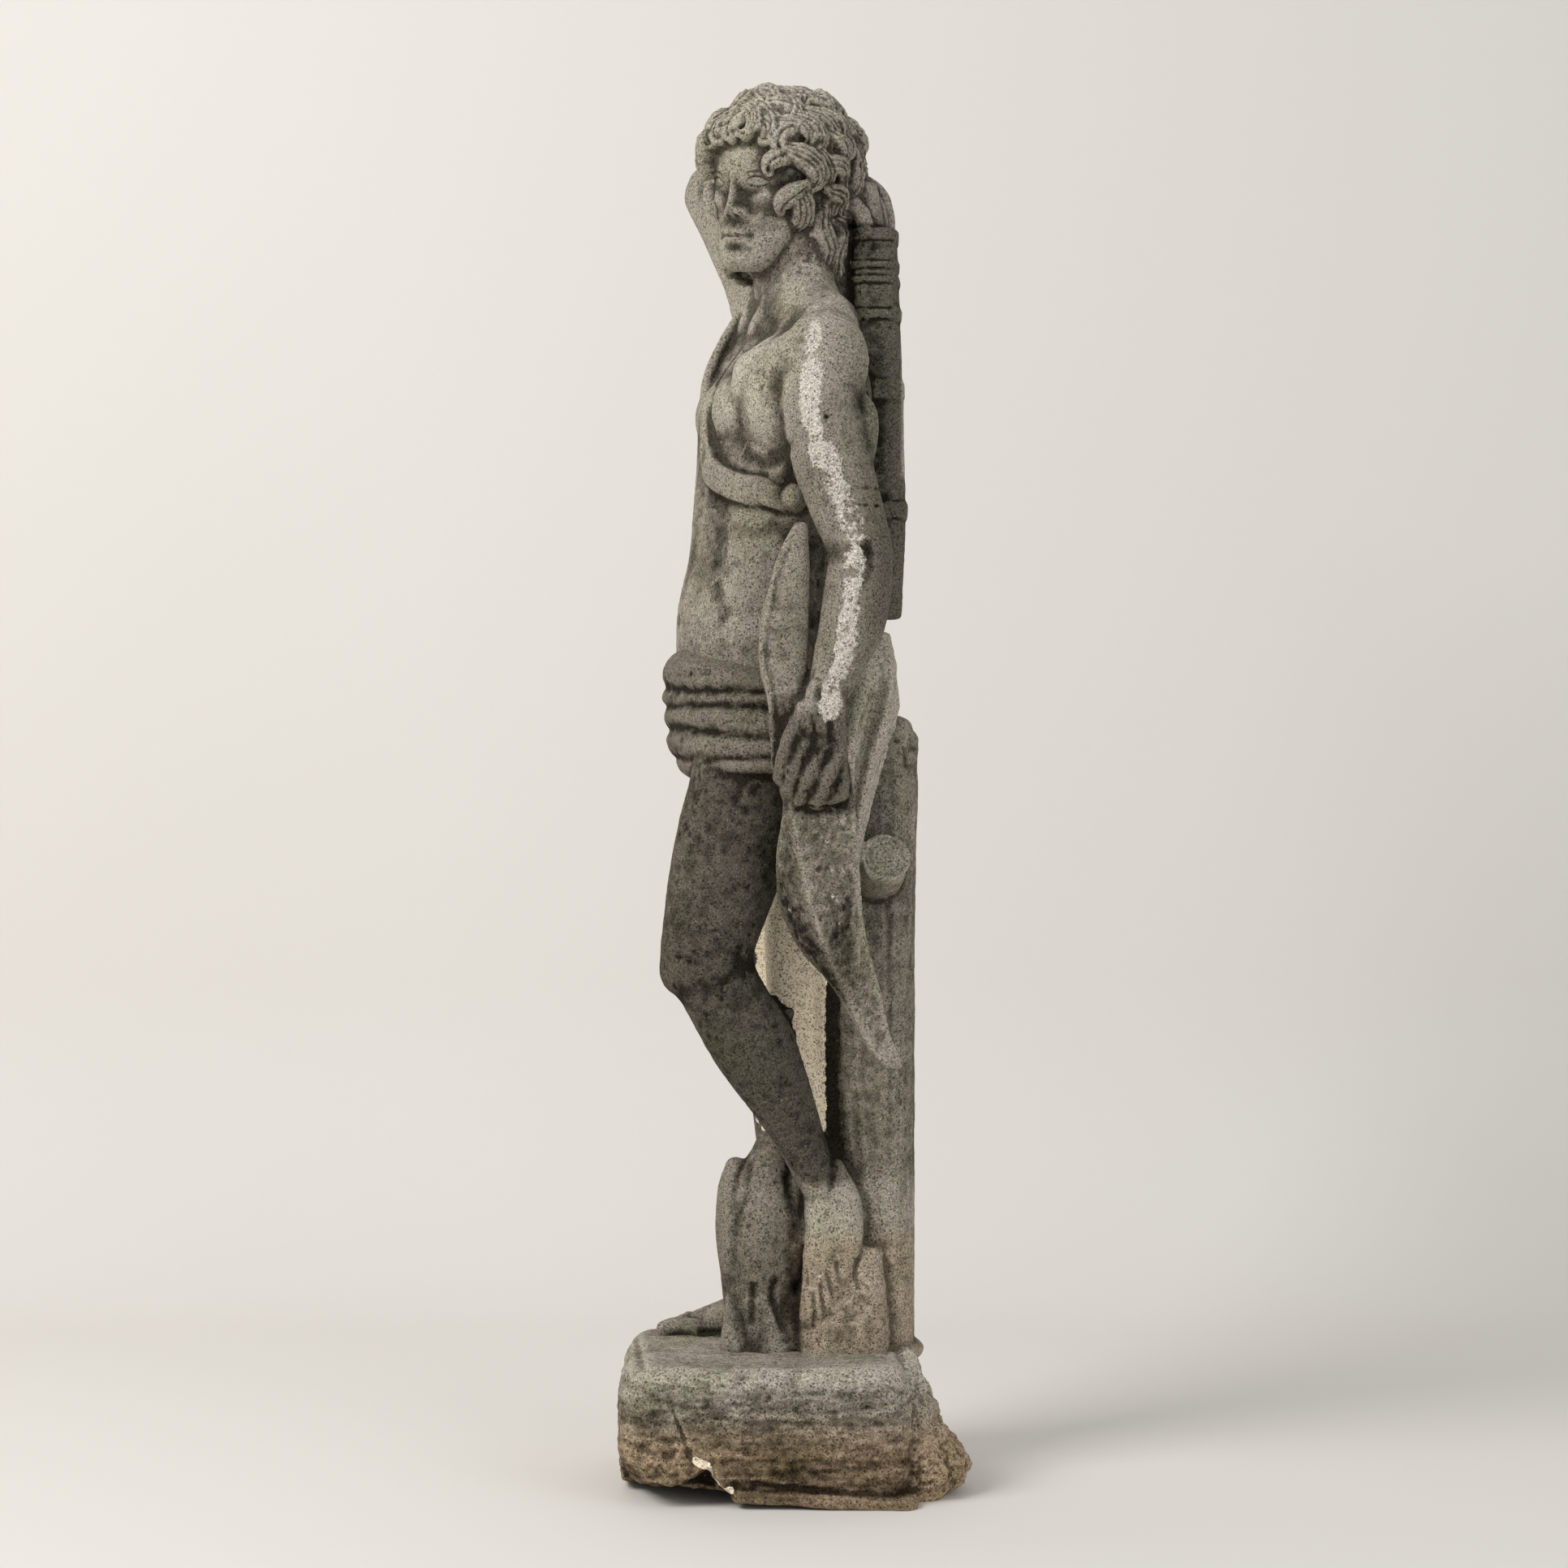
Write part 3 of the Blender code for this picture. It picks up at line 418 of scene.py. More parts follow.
def onTorso(bearing, z, lift=0):
    # a place on the torso by bearing from its front, toward its left
    z, lift = z / 1000, lift / 1000
    x, y, breadth, front, back, turn = (float(np.interp(z, torsoRows[:, 0], torsoRows[:, k]))
                                        for k in range(1, 7))
    a = math.radians(bearing)
    u, v = math.sin(a), math.cos(a)
    reach = 1 / math.hypot(u / breadth, v / (front if v > 0 else back)) + lift
    left, fore = heading(turn)
    return Vector((x, y, z)) + (left * u + fore * v) * reach


def roundTorso(skin, points):
    return [skin.land(onTorso(bearing, z, 50), onTorso(bearing, z, -50) - onTorso(bearing, z, 50))
            for bearing, z in points]


def torso(clay):
    skinRings(clay, [ringPoints(Vector((row[1], row[2], row[0])), *heading(row[6]), *row[3:6], 64, 2.15)
                     for row in smoothRows(torsoRows, 7)])
    chest, hips = casting["chestTurn"], casting["hipTurn"]
    for side in (-1, 1):
        # breast, shoulder blade, flank and buttock
        for bearing, z, lift, radii, turn in (
                (36, 1272, -24, (64, 32, 47), (0, 12 * side, chest + 18 * side)),
                (138, 1290, -30, (50, 36, 62), (0, 0, chest)),
                (90, 1200, -30, (34, 50, 85), (0, 0, chest)),
                (150, 890, -48, (62, 62, 68), (0, 0, hips))):
            egg(clay, onTorso(bearing * side, z, lift), mm(radii), turn)
        form(clay, [(20 * side, 54, 1446, 20), (52 * side, 54 + 12 * side, 1396, 30),
                    (88 * side, 48 + 26 * side, 1372, 36), (118 * side, 42 + 30 * side, 1356, 38)])


def neck(clay):
    form(clay, [(-2, 44, 1360, 56, 50, 52), (0, 40, 1410, 52, 52, 52), (4, 34, 1460, 50, 52, 52),
                (4, 24, 1520, 50, 50, 55)])
    # the two neck tendons, down to the pit of the throat
    for start, end in (((30, -10, 1372), (30, 62, 1485)), ((-12, -22, 1380), (-45, 20, 1485))):
        middle = (Vector(start) + Vector(end)) / 2
        form(clay, [(*start, 12), (*middle, 14), (*end, 13)])
    # stone left between the neck, the shoulders and the quiver
    form(clay, [(-20, 98, 1300, 34), (-20, 92, 1380, 30), (-20, 90, 1460, 26)], ahead, 3, 14)


def arms(clay):
    # the left arm hangs a little bent
    form(clay, [(105, 60, 1345, 42), (138, 70, 1326, 48), (156, 67, 1270, 45, 46), (163, 76, 1210, 40, 46),
                (168, 94, 1150, 34, 42), (172, 112, 1098, 32, 37)], ahead)
    form(clay, [(172, 112, 1104, 31, 36), (177, 107, 1056, 36, 39), (181, 100, 1015, 35, 38),
                (186, 86, 975, 27, 31), (190, 72, 936, 22, 24)], ahead)
    ball(clay, (143, 74, 1320), (45, 47, 58))
    ball(clay, (150, 104, 1215), (28, 24, 65), (-14, 0, 0))
    # the breast muscle runs across into the arm
    form(clay, [(146, 50, 1322, 40, 34), (116, 20, 1314, 42, 34), (80, -8, 1300, 40, 32)], leftward)
    ball(clay, (104, 20, 1272), (44, 42, 56))
    # and the neck slopes down to the shoulder
    form(clay, [(22, 46, 1436, 34), (56, 52, 1392, 40), (96, 60, 1356, 40)], ahead)
    # the right one is raised and bent behind the head
    form(clay, [(-105, 20, 1350, 48), (-140, 10, 1405, 50), (-172, -8, 1460, 45), (-205, -32, 1512, 42),
                (-236, -56, 1555, 37), (-256, -72, 1585, 35)], ahead)
    form(clay, [(-256, -72, 1586, 34), (-222, -36, 1594, 37), (-180, 4, 1594, 34), (-125, 54, 1586, 27),
                (-82, 92, 1572, 24, 20)], upward)


# the head, in its own frame: the face looks along -Y and the origin is halfway up

faceForm = {
    "rows": (  # height, centre y, half breadth, depth to the front and back
        (-104, -58, 18, 18, 24), (-94, -48, 34, 34, 40), (-74, -34, 48, 47, 55), (-50, -24, 56, 54, 66),
        (-20, -14, 62, 62, 76), (12, -8, 67, 69, 84), (45, -2, 70, 77, 88), (70, 2, 62, 70, 80),
        (88, 4, 44, 50, 60), (98, 6, 18, 20, 28)),
    "relief": (  # across, height, spread across and up, how far forward; the same on both sides
        (27, 20, 19, 6.2, 6), (0, 22, 9, 9, 2.5), (30, 3, 16.5, 10.5, -12.5), (30, 1.2, 10.8, 7.2, 10.5),
        (14, 3, 5, 8, -4), (30, 8.5, 12, 2.6, 2.2), (30, -6.6, 11, 2.4, 1.2), (0, 12, 6.2, 11, 6),
        (0, -4, 6.6, 12, 9.5), (0, -20, 7.4, 11, 13), (0, -31.5, 9, 7.5, 15), (12.5, -34.5, 5.2, 6, 7.8),
        (0, -44.5, 11, 4, -2), (0, -60, 20, 16, 6), (0, -50, 2.8, 5, -1.6), (6.2, -56.8, 8.8, 3.2, 4.8),
        (0, -61.7, 17, 1.7, -2.6), (0, -67.2, 10.4, 4.2, 6.4), (0, -75.8, 12, 5, -4.4),
        (20.5, -61.2, 3.8, 4.4, -3), (0, -90, 14, 10, 7.4), (42, -15, 15, 12, 5), (40, -48, 14, 18, -2),
        (22, -42, 8, 10, 1.4), (58, 26, 10, 18, -3)),
    "lids": (  # lines cut round the eyes from the inner corner out: across and height, width, depth
        (((16.5, -0.5), (21.5, 4.2), (29.5, 6.6), (37.5, 4.6), (43.5, -0.4)), 1.9, 1.2),
        (((16.5, -0.5), (22.5, -3.6), (30, -4.8), (37.5, -3.4), (43.5, -0.4)), 1.9, 0.9),
        (((15, 6), (21, 10.8), (30, 13.2), (39, 10.8), (46, 5)), 2.4, 1.2)),
}


def headFrame():
    lean = Matrix.Rotation(math.radians(-casting["headLean"]), 4, "X")
    turn = Matrix.Rotation(math.radians(casting["headTurn"]), 4, "Z")
    pitch = Matrix.Rotation(math.radians(casting["headPitch"]), 4, "X")
    return Matrix.Translation(mm(casting["headCentre"])) @ lean @ turn @ pitch


def face(clay):
    relief = mm(faceForm["relief"])
    rings = []
    for height, y, breadth, front, back in smoothRows(mm(faceForm["rows"]), 9):
        ring = ringPoints(Vector((0, y, height)), Vector(leftward), Vector(ahead), breadth, front, back,
         120, 2.2)
        for p in ring:
            if p.y < y:
                push = sum(out * math.exp(-((abs(p.x) - across) / wide) ** 2 - ((p.z - up) / tall) ** 2)
                           for across, up, wide, tall, out in relief)
                p.y -= push * min(1, (y - p.y) / 0.030)
        rings.append(ring)
    skinRings(clay, rings)


# the hair: fat locks of parallel strands, laid over a plain cap

hairForm = {
    "cap": (78.5, 99, 84.5),
    "masses": (  # fuller hair over the ears and the nape: middle and radii, the same on both sides
        ((58, 26, -10), (24, 48, 52)), ((32, 62, -50), (42, 40, 50)), ((50, 30, -78), (26, 36, 38))),
    "over": (80, 101, 86),
    "middle": (0, 8, 16),
    "locks": (  # where it starts (bearing, rise), heading, length, bend, width, lift, strands
        (-16, 50, 92, 74, 235, 19, 12, 4), (-27, 46, 186, 54, -150, 18, 8, 3),
        (-42, 34, 190, 40, 150, 18, 5, 3), (-56, 24, 180, 40, -140, 17, 4, 3),
        (-52, 60, 60, 48, 150, 21, 8, 3), (-24, 70, 70, 50, 150, 22, 9, 3),
        (-6, 66, 130, 50, -160, 22, 10, 3), (4, 46, 205, 36, 160, 19, 9, 3),
        (-14, 44, 228, 36, -150, 18, 8, 3), (-2, 56, 60, 56, 150, 20, 10, 3),
        (14, 76, 80, 52, 160, 21, 10, 3), (14, 40, 110, 46, 220, 15, 9, 3),
        (20, 52, 78, 58, 110, 23, 11, 3), (36, 34, 88, 60, 190, 19, 13, 3),
        (50, 40, 110, 58, 130, 20, 14, 3), (62, 46, 112, 60, 110, 21, 13, 3),
        (78, 44, 122, 56, 110, 20, 10, 3), (54, 66, 90, 62, 120, 22, 10, 3),
        (90, 66, 110, 62, 100, 22, 9, 3), (112, 42, 140, 60, -120, 22, 9, 3),
        (46, 14, 110, 68, 165, 27, 14, 4), (72, 14, 150, 44, 70, 18, 13, 3),
        (82, 28, 96, 62, 265, 17, 12, 3), (114, 22, 165, 54, -120, 20, 9, 3),
        (98, -6, 205, 54, -150, 18, 9, 3), (58, -14, 160, 56, 100, 27, 11, 4),
        (120, -12, 190, 54, 130, 21, 8, 3), (84, -24, 165, 48, -150, 18, 10, 3),
        (132, 6, 170, 54, 140, 21, 8, 3), (94, -28, 105, 50, 245, 16, 12, 3)),
    "drilled": (  # bearing and rise of the deep holes, their radius and depth
        (-4, 31, 7.5, 11), (26, 24, 3.5, 7), (97, 15, 5.5, 10), (104, -34, 5, 9), (62, 22, 4, 6),
        (90, -14, 6, 8), (46, 27, 3.5, 6)),
    "rows": (  # for the rest: rise, first and last bearing, count, length, width
        (84, 40, 340, 5, 46, 24), (66, 24, 336, 12, 50, 24), (46, 14, 340, 15, 48, 24),
        (27, 62, 318, 14, 48, 23), (6, 60, 302, 14, 46, 22), (-14, 62, 298, 14, 44, 22),
        (-34, 70, 290, 13, 44, 22)),
    "strokes": 420,
}


scalpSize, scalpMiddle = mm(hairForm["over"]), mm(hairForm["middle"])


def scalpAt(way):
    # the place on the scalp in this direction from its middle, and the way out of it there
    return (Vector([way[k] * scalpSize[k] + scalpMiddle[k] for k in range(3)]),
            Vector([way[k] / scalpSize[k] for k in range(3)]).normalized())


def onScalp(bearing, rise):
    b, r = math.radians(bearing), math.radians(rise)
    return scalpAt(Vector((math.sin(b) * math.cos(r), -math.cos(b) * math.cos(r), math.sin(r))))


def backToScalp(point):
    return scalpAt(Vector([(point[k] - scalpMiddle[k]) / scalpSize[k] for k in range(3)]).normalized())


def strandBand(clay, path, width, strands, thick, start=0.55, end=0.45, deep=0.0):
    # a fat rounded lock along a path of (place, outward) that reaches this deep under the path;
    # returns the lines along its top where the grooves between its strands are cut
    last = len(path) - 1
    body = []
    grooves = [[] for _ in range(strands - 1)]
    for i, (place, out) in enumerate(path):
        ahead, behind = path[min(i + 1, last)][0], path[max(i - 1, 0)][0]
        side = (ahead - behind).cross(out).normalized()
        t = i / last
        full = min(1, start + (1 - start) * t * 3.3, end + (1 - end) * (1 - t) * 3.3)
        body.append((*place, width * 0.52 * full, thick * (0.5 + 1.1 * full), thick + deep * 0.8))
        for k, groove in enumerate(grooves):
            across = ((k + 1) / strands - 0.5) * 2
            groove.append(place + side * (across * width * 0.52 * full)
                          + out * (thick * (0.5 + 1.1 * full) * math.sqrt(1 - across**2)))
    loft(clay, body, lambda row: backToScalp(Vector(row[:3]))[1], 2, 16)
    return grooves


def hairLock(clay, bearing, rise, course, length, bend, width, lift, strands):
    # walks over the scalp from a place, turning ever faster; the course is clockwise from the crown
    length, width, lift = mm((length, width, lift))
    place, out = onScalp(bearing, rise)
    east = Vector((0, 0, 1)).cross(out).normalized()
    north = out.cross(east)
    h = math.radians(course)
    way = north * math.cos(h) + east * math.sin(h)
    steps = 11
    path = []
    for i in range(steps + 1):
        t = i / steps
        path.append((place + out * (lift * math.sin(math.pi * min(1, 0.15 + 0.75 * t)) ** 0.6), out))
        place, out = backToScalp(place + way * (length / steps))
        way = (way - out * way.dot(out)).normalized()
        way.rotate(Matrix.Rotation(math.radians(-bend * 2.6 * t**1.6 / steps), 3, out))
    grooves = strandBand(clay, path, width, strands, width * 0.22, deep=0.012 + lift)
    tip, out = path[-1]
    inner = way.cross(out) * (1 if bend > 0 else -1)
    return grooves, (tip + inner * (length / math.radians(abs(bend) * 2.6)) + out * 0.004, 0.0036, 0.005)


def hair(clay):
    ball(clay, (0, 14, 20), hairForm["cap"], (0, 0, 0), 48, 30)
    for (x, y, z), radii in hairForm["masses"]:
        for side in (-1, 1):
            ball(clay, (x * side, y, z), radii, (0, 0, 0), 32, 20)
    made = []
    rng = np.random.default_rng(7)
    for rise, first, last, count, length, width in hairForm["rows"]:
        for i in range(count):
            bearing = first + (last - first) * i / (count - 1) + rng.uniform(-5, 5)
            bend = rng.uniform(110, 190) * (1 if i % 2 else -1)
            made.append(hairLock(clay, bearing, rise + rng.uniform(-4, 4),
                                 180 + 40 * math.sin(bearing) - bend * 0.3,
                                 length * rng.uniform(0.9, 1.1), bend, width, rng.uniform(5, 14), 2 + i % 2))
    made += [hairLock(clay, *lock) for lock in hairForm["locks"]]
    for bearing, rise, radius, depth in hairForm["drilled"]:
        place, out = onScalp(bearing, rise)
        made.append(([], (place + out * 0.006, radius / 1000, depth / 1000)))
    # longer locks down the nape, each ending in a ring
    for i, bearing in enumerate(range(84, 290, 20)):
        top, out = onScalp(bearing, -34)
        flat = Vector((out.x, out.y, 0)).normalized()
        tip = Vector((top.x * 0.98, top.y * 0.9, -0.104 - 0.010 * math.cos(math.radians(3 * bearing))))
        side = Vector((-flat.y, flat.x, 0)) * (0.006 if i % 2 else -0.006)
        path = [(top, flat), (top * 0.66 + tip * 0.34 + flat * 0.007 + side, flat),
                (top * 0.33 + tip * 0.67 + flat * 0.006 - side, flat), (tip + flat * 0.002, flat)]
        grooves = strandBand(clay, path, 0.030, 3, 0.0068, 0.9, 0.8, 0.012)
        more, hole = ringCurl(clay, tip + flat * 0.004, flat, 0.0185, 40.0 * i)
        made.append((grooves + more, hole))
    # single hairs scratched into the cap where it shows between the locks
    for _ in range(hairForm["strokes"]):
        bearing = rng.uniform(-180, 180)
        place, out = onScalp(bearing, rng.uniform(38 if abs(bearing) < 62 else -40, 85))
        way = out.cross(Vector((rng.uniform(-1, 1), rng.uniform(-1, 1), 0.4))).normalized()
        line = []
        for _ in range(6):
            line.append(place - out * 0.003)
            place, out = backToScalp(place + way * 0.007)
            way.rotate(Matrix.Rotation(math.radians(14), 3, out))
        made.append(([line], (place, 0, 0)))
    return made


def ringCurl(clay, centre, out, size, start):
    side = out.orthogonal().normalized()
    up = out.cross(side)
    path = []
    for i in range(13):
        a = math.radians(start) + 2 * math.pi * 1.05 * i / 12
        reach = size * (0.66 - 0.22 * i / 12)
        path.append((centre + (side * math.cos(a) + up * math.sin(a)) * reach, out))
    grooves = strandBand(clay, path, size * 0.7, 3, size * 0.22, 0.8, 0.6)
    return grooves, (centre + out * size * 0.2, 0.0036, 0.006)


def head(clay):
    local = bmesh.new()
    face(local)
    locks = hair(local)
    place = headFrame()
    bmesh.ops.transform(local, matrix=place, verts=local.verts[:])
    pressInto(clay, makeObject("head", local))
    return [([[place @ p for p in line] for line in grooves], (place @ hole, radius, depth))
            for grooves, (hole, radius, depth) in locks]


# what the figure wears and holds

def strap(clay):
    way = ((-62, 1392), (-44, 1352), (-27, 1308), (-14, 1262), (-4, 1228), (14, 1202), (36, 1186),
           (62, 1174), (88, 1170), (116, 1205), (142, 1270), (165, 1330), (190, 1370))
    centre = Vector((0, 0.015, 0))
    loft(clay, [(*onTorso(a, z, 4), 0.017, 0.007) for a, z in way],
         lambda row: Vector((row[0], row[1], 0)) - centre, 6, 20, 3.0)
    egg(clay, onTorso(84, 1166, 8), (0.018, 0.016, 0.017))


def quiver(clay):
    rows = ((-22, 134, 1034, 34, 30), (-22, 136, 1160, 38, 32), (-22, 133, 1330, 41, 31),
            (-22, 130, 1494, 42, 28))
    form(clay, rows, ahead, 6, 40, 3.4, 0.1)
    # height and half height of each band round it, and how far it stands out
    for z, tall, out in ((1488, 7, 2.2), (1452, 4, 1.8), (1434, 4, 1.8), (1393, 6, 2), (1304, 9, 2.2),
                         (1160, 9, 2.6)):
        y, breadth, depth = (float(np.interp(z, [row[2] for row in rows], [row[k] for row in rows]))
                             for k in (1, 3, 4))
        form(clay, [(-22, y, edge, breadth + out, depth + out) for edge in (z - tall, z + tall)],
             ahead, 1, 40, 3.4, 0.1)


def rightHand(clay):
    form(clay, [(-92, 86, 1573, 22, 18), (-62, 100, 1562, 30, 16), (-20, 106, 1548, 30, 14)], upward, 4, 20)
    # what is left of the arrows, a worn lump in the mouth of the quiver
    form(clay, [(-22, 126, 1480, 36, 22), (-22, 118, 1545, 30, 18)], ahead, 3, 18)
    # the fingers bend over the quiver's back rim, each nearer one a little lower
    for i in range(4):
        x, y, z = -46 + 21 * i, -8.5 * i, -10 * i
        form(clay, [(x, 96 + y * 0.5, 1560 + z * 0.6, 10), (x, 122 + y, 1558 + z, 10.8),
                    (x, 140 + y, 1541 + z, 10.5), (x, 147 + y, 1512 + z * 0.8, 9.8),
                    (x, 147 + y, 1488, 9)], (0, 1, 0), 5, 16)


def leftHand(clay):
    # the back of the hand, broad over the bow, then four fingers bent round it and the thumb
    form(clay, [(190, 72, 946, 20, 21), (190, 66, 915, 20, 28), (188, 59, 885, 19, 36),
                (184, 56, 855, 18, 40), (179, 58, 828, 17, 40), (174, 62, 812, 15, 36)], ahead, 5, 32, 3.4,
                 0.3)
    for knuckle, middle, tip in (((46, 922), (26, 878), (18, 838)), ((58, 906), (38, 861), (26, 824)),
                                 ((72, 888), (53, 846), (40, 815)), ((86, 874), (71, 838), (58, 811))):
        form(clay, [(196, *knuckle, 9.6), (198.5, *middle, 9.8), (188.5, *tip, 9)], leftward, 6, 16)
    form(clay, [(186, 52, 925, 11), (176, 30, 905, 11), (168, 16, 880, 9)], leftward, 4, 14)


bowLimb = (  # height; the left edge, ridge and right edge along Y; how far out ridge, edges and back lie
    (858, 12, 34, 98, 192, 174, 176, 140), (810, 21, 31, 104, 192, 180, 174, 134),
    (760, 14, 38, 108, 186, 164, 164, 120), (705, 14, 49, 112, 176, 148, 151, 105),
    (675, 23, 58, 115, 168, 142, 144, 98), (642, 40, 69, 121, 158, 134, 135, 90),
    (605, 72, 86, 132, 144, 126, 122, 82), (575, 92, 99, 139, 130, 118, 110, 70),
    (540, 109, 114, 147, 112, 104, 98, 60), (514, 126, 131, 158, 99, 93, 88, 56),
    (500, 140, 144, 163, 88, 84, 80, 58))


def bow(clay):
    upper = ((178, 44, 1128, 9, 6), (178, 36, 1100, 15, 16), (178, 29, 1060, 19, 23),
             (177, 22.5, 1010, 22, 27.5), (176, 22, 970, 22, 27.5), (175, 28, 925, 20, 24),
             (174, 36, 875, 19, 27))
    form(clay, upper, ahead, 7, 28, 2.3)
    # a bead along its rim
    form(clay, [(x + 0.6 * wide, y - 0.8 * deep, z, 5) for x, y, z, wide, deep in upper[:-1]]
         + [(180, 12, 850, 4.5)], leftward, 7, 12)
    # the lower limb has a narrow front face and a broad side face, with an edge between them
    rings = []
    for z, left, ridge, right, outRidge, outLeft, outRight, outBack in smoothRows(mm(bowLimb), 6):
        corners = ((outLeft, left), (outRidge, ridge), (outRight, right), (outBack, right - 0.008),
                   (outBack, left + 0.010))
        rings.append([Vector((xa + (xb - xa) * t / 6, ya + (yb - ya) * t / 6, z))
                      for (xa, ya), (xb, yb) in zip(corners, corners[1:] + corners[:1]) for t in range(6)])
    skinRings(clay, rings)
    ball(clay, (90, 126, 556), (20, 14, 16))


def archerForms():
    flesh = fusedForms("flesh", (torso, neck, arms), archer["fleshVoxel"], archer["fleshCrease"], 3)
    skin = Skin(flesh)
    for place in archer["rubbed"]:
        rubDown(skin, *place)
    skin.settle()
    clay = bmesh.new()
    pressInto(clay, flesh)
    locks = head(clay)
    return fusedForms("archer", (strap, quiver, rightHand, leftHand, bow), archer["voxel"],
     archer["crease"], 1,
                      clay), locks


# the legs and cloth with the trunk, rock and bird they lean on

support = {
    "voxel": 1.9,
    "crease": 1.3,
    "fleshVoxel": 3.6,
    "fleshCrease": 9,
    "triangles": 196000,
    "wear": {"broad": 0.5, "small": 0.45, "pits": 0.8},
    "stone": {"name": "supportStone", "grains": 600, "pits": 320, "pitShare": 0.44, "patches": 24,
              "patchStrength": 0.06, "hollowStrength": 0.31, "relief": 1.3},
    "creases": (  # the edges between the cloth's rolls: height in front and at the left hip, then
        # half breadth and depth to the front of the cloth there, and how far the roll below stands out
        (991, 967, 138, 95, 15), (947, 938, 150, 103, 9.5), (927, 920, 156, 103, 10.5),
        (900, 887, 161, 100, 9.5), (864, 862, 162, 92, 8.5), (840.5, 843, 157, 79, 0)),
    "rubbed": (  # middle, reach, passes of the wet sponge
        ((30, -4, 255), (60, 85, 110), 14), ((50, 72, 235), (30, 36, 60), 7),
        ((100, -30, 910), (220, 200, 60), 5)),
    "strokes": (  # cut from the figure's left: (Y, Z) along each, width, depth
        (((-16, 386), (-22, 352), (-30, 320), (-34, 296)), 10, 2),
        (((26, 372), (34, 330), (36, 285)), 12, 2.4), (((13, 250), (9, 226), (22, 182)), 8, 2.4),
        (((-13, 244), (-15, 220), (-17, 190)), 8, 2.4), (((56, 234), (58.5, 212), (56.5, 190)), 5, 2.2),
        (((64, 246), (67, 224), (71.5, 204)), 5, 2.2), (((72, 258), (76, 244), (80.5, 226)), 4.8, 2.2),
        (((82, 270), (86, 256), (89.5, 242)), 4.6, 2),
        (((117, 290), (110, 270), (107, 252), (110, 236)), 4.6, 4.2),
        (((142, 894), (156, 884), (166, 872), (170, 850)), 6, 2),
        (((145, 881), (158, 870), (171, 860)), 5, 1.8),
        (((152, 840), (149, 780), (148, 640), (149, 500), (148, 380)), 7, 1),
        (((127, 945), (112, 900), (100, 860), (97, 820)), 8, 2.2),
        (((85, 985), (78, 940), (82, 900)), 9, 2.6), (((48, 262), (50, 240)), 4, 2)),
    "drape": (  # height, then across the hanging end (Y, X): left, first fold, its groove, second, edge
        (1010, (96, 90), (112, 112), (132, 112), (141, 104), (147, 86)),
        (970, (78, 100), (110, 136), (140, 124), (147, 122), (154, 92)),
        (923, (62, 104), (106, 149), (128.5, 124), (143, 131), (158, 94)),
        (881, (54, 104), (98, 149), (116.2, 122), (131, 131), (147, 94)),
        (848, (58, 100), (93, 143), (108.7, 116), (122, 124), (138, 90)),
        (800, (68, 94), (91, 128), (102.5, 108), (112, 114), (124, 84)),
        (762, (80, 86), (96, 108), (103, 98), (108, 102), (116, 80)),
        (738, (88, 78), (97, 92), (102, 86), (106, 88), (112, 74))),
    "shade": 0.60,
    "boxes": (  # mask, two corners, softness, amount
        # dark algae and painted shade on the bent left leg
        ("shade", (0, -200, 320), (200, 90, 860), 20, 1.04),
        ("shade", (-200, -200, 200), (-60, 70, 860), 20, 0.86),
        ("shade", (-200, -200, 845), (200, 48, 1000), 12, 0.80),
        # painted light: the hanging cloth is lightened where the arm's shadow falls on it
        ("shade", (60, 48, 720), (200, 180, 1020), 12, 0.04),
        ("shade", (-80, 46, 140), (90, 200, 360), 16, 0.38),
        ("shade", (-80, -80, 140), (50, 40, 460), 12, 0.76),
        ("shade", (-80, -80, 140), (60, 40, 225), 30, 0.62),
        ("cream", (-90, -12, 420), (40, 72, 740), 10, 1.0),
        ("earth", (-80, 30, 140), (90, 200, 300), 30, 0.5)),
    "spots": (("shade", (120, -100, 780), (80, 30, 120), -0.08), ("lichen", (50, 70, 245), (40, 40, 50),
     0.24)),
}


def hips(clay):
    turn = casting["hipTurn"]
    form(clay, [(-14, -11, 800, 104, 66, 80), (-14, -10, 890, 132, 86, 104), (-14, -12, 972, 126, 86, 94)],
         heading(turn)[1], 5, 48, 2.15, 0.1)
    for side in (-1, 1):
        egg(clay, onTorso(150 * side, 890, -48), (0.062, 0.062, 0.068), (0, 0, turn))


def legs(clay):
    # the bent left thigh and shin, then the right leg that stands
    for rows in (((66, -2, 930, 70, 80), (73, -14, 840, 68, 73), (78, -36, 765, 62, 69),
                  (81, -54, 700, 54, 62), (81, -66, 650, 46, 56), (79, -70, 615, 44, 54)),
                 ((79, -70, 632, 43, 50), (74, -50, 580, 43, 44, 52), (64, -16, 520, 46, 44, 54),
                  (52, 16, 460, 38, 34, 42), (40, 44, 405, 28, 27, 29), (30, 66, 355, 25, 24, 26)),
                 ((-90, 2, 930, 70, 82), (-97, -2, 840, 68, 78), (-100, -4, 750, 61, 70),
                  (-101, -2, 660, 50, 58), (-102, 0, 600, 44, 52), (-103, 8, 550, 42, 46, 50),
                  (-105, 18, 490, 47, 44, 56), (-107, 20, 430, 40, 36, 46), (-108, 22, 350, 29, 28, 32),
                  (-109, 24, 270, 25, 26, 29), (-110, 24, 215, 30, 32))):
        form(clay, rows, ahead, 6, 40)
    ball(clay, (80, -94, 622), (30, 30, 38), (-15, 0, 0))
    ball(clay, (-101, -30, 592), (29, 26, 36))


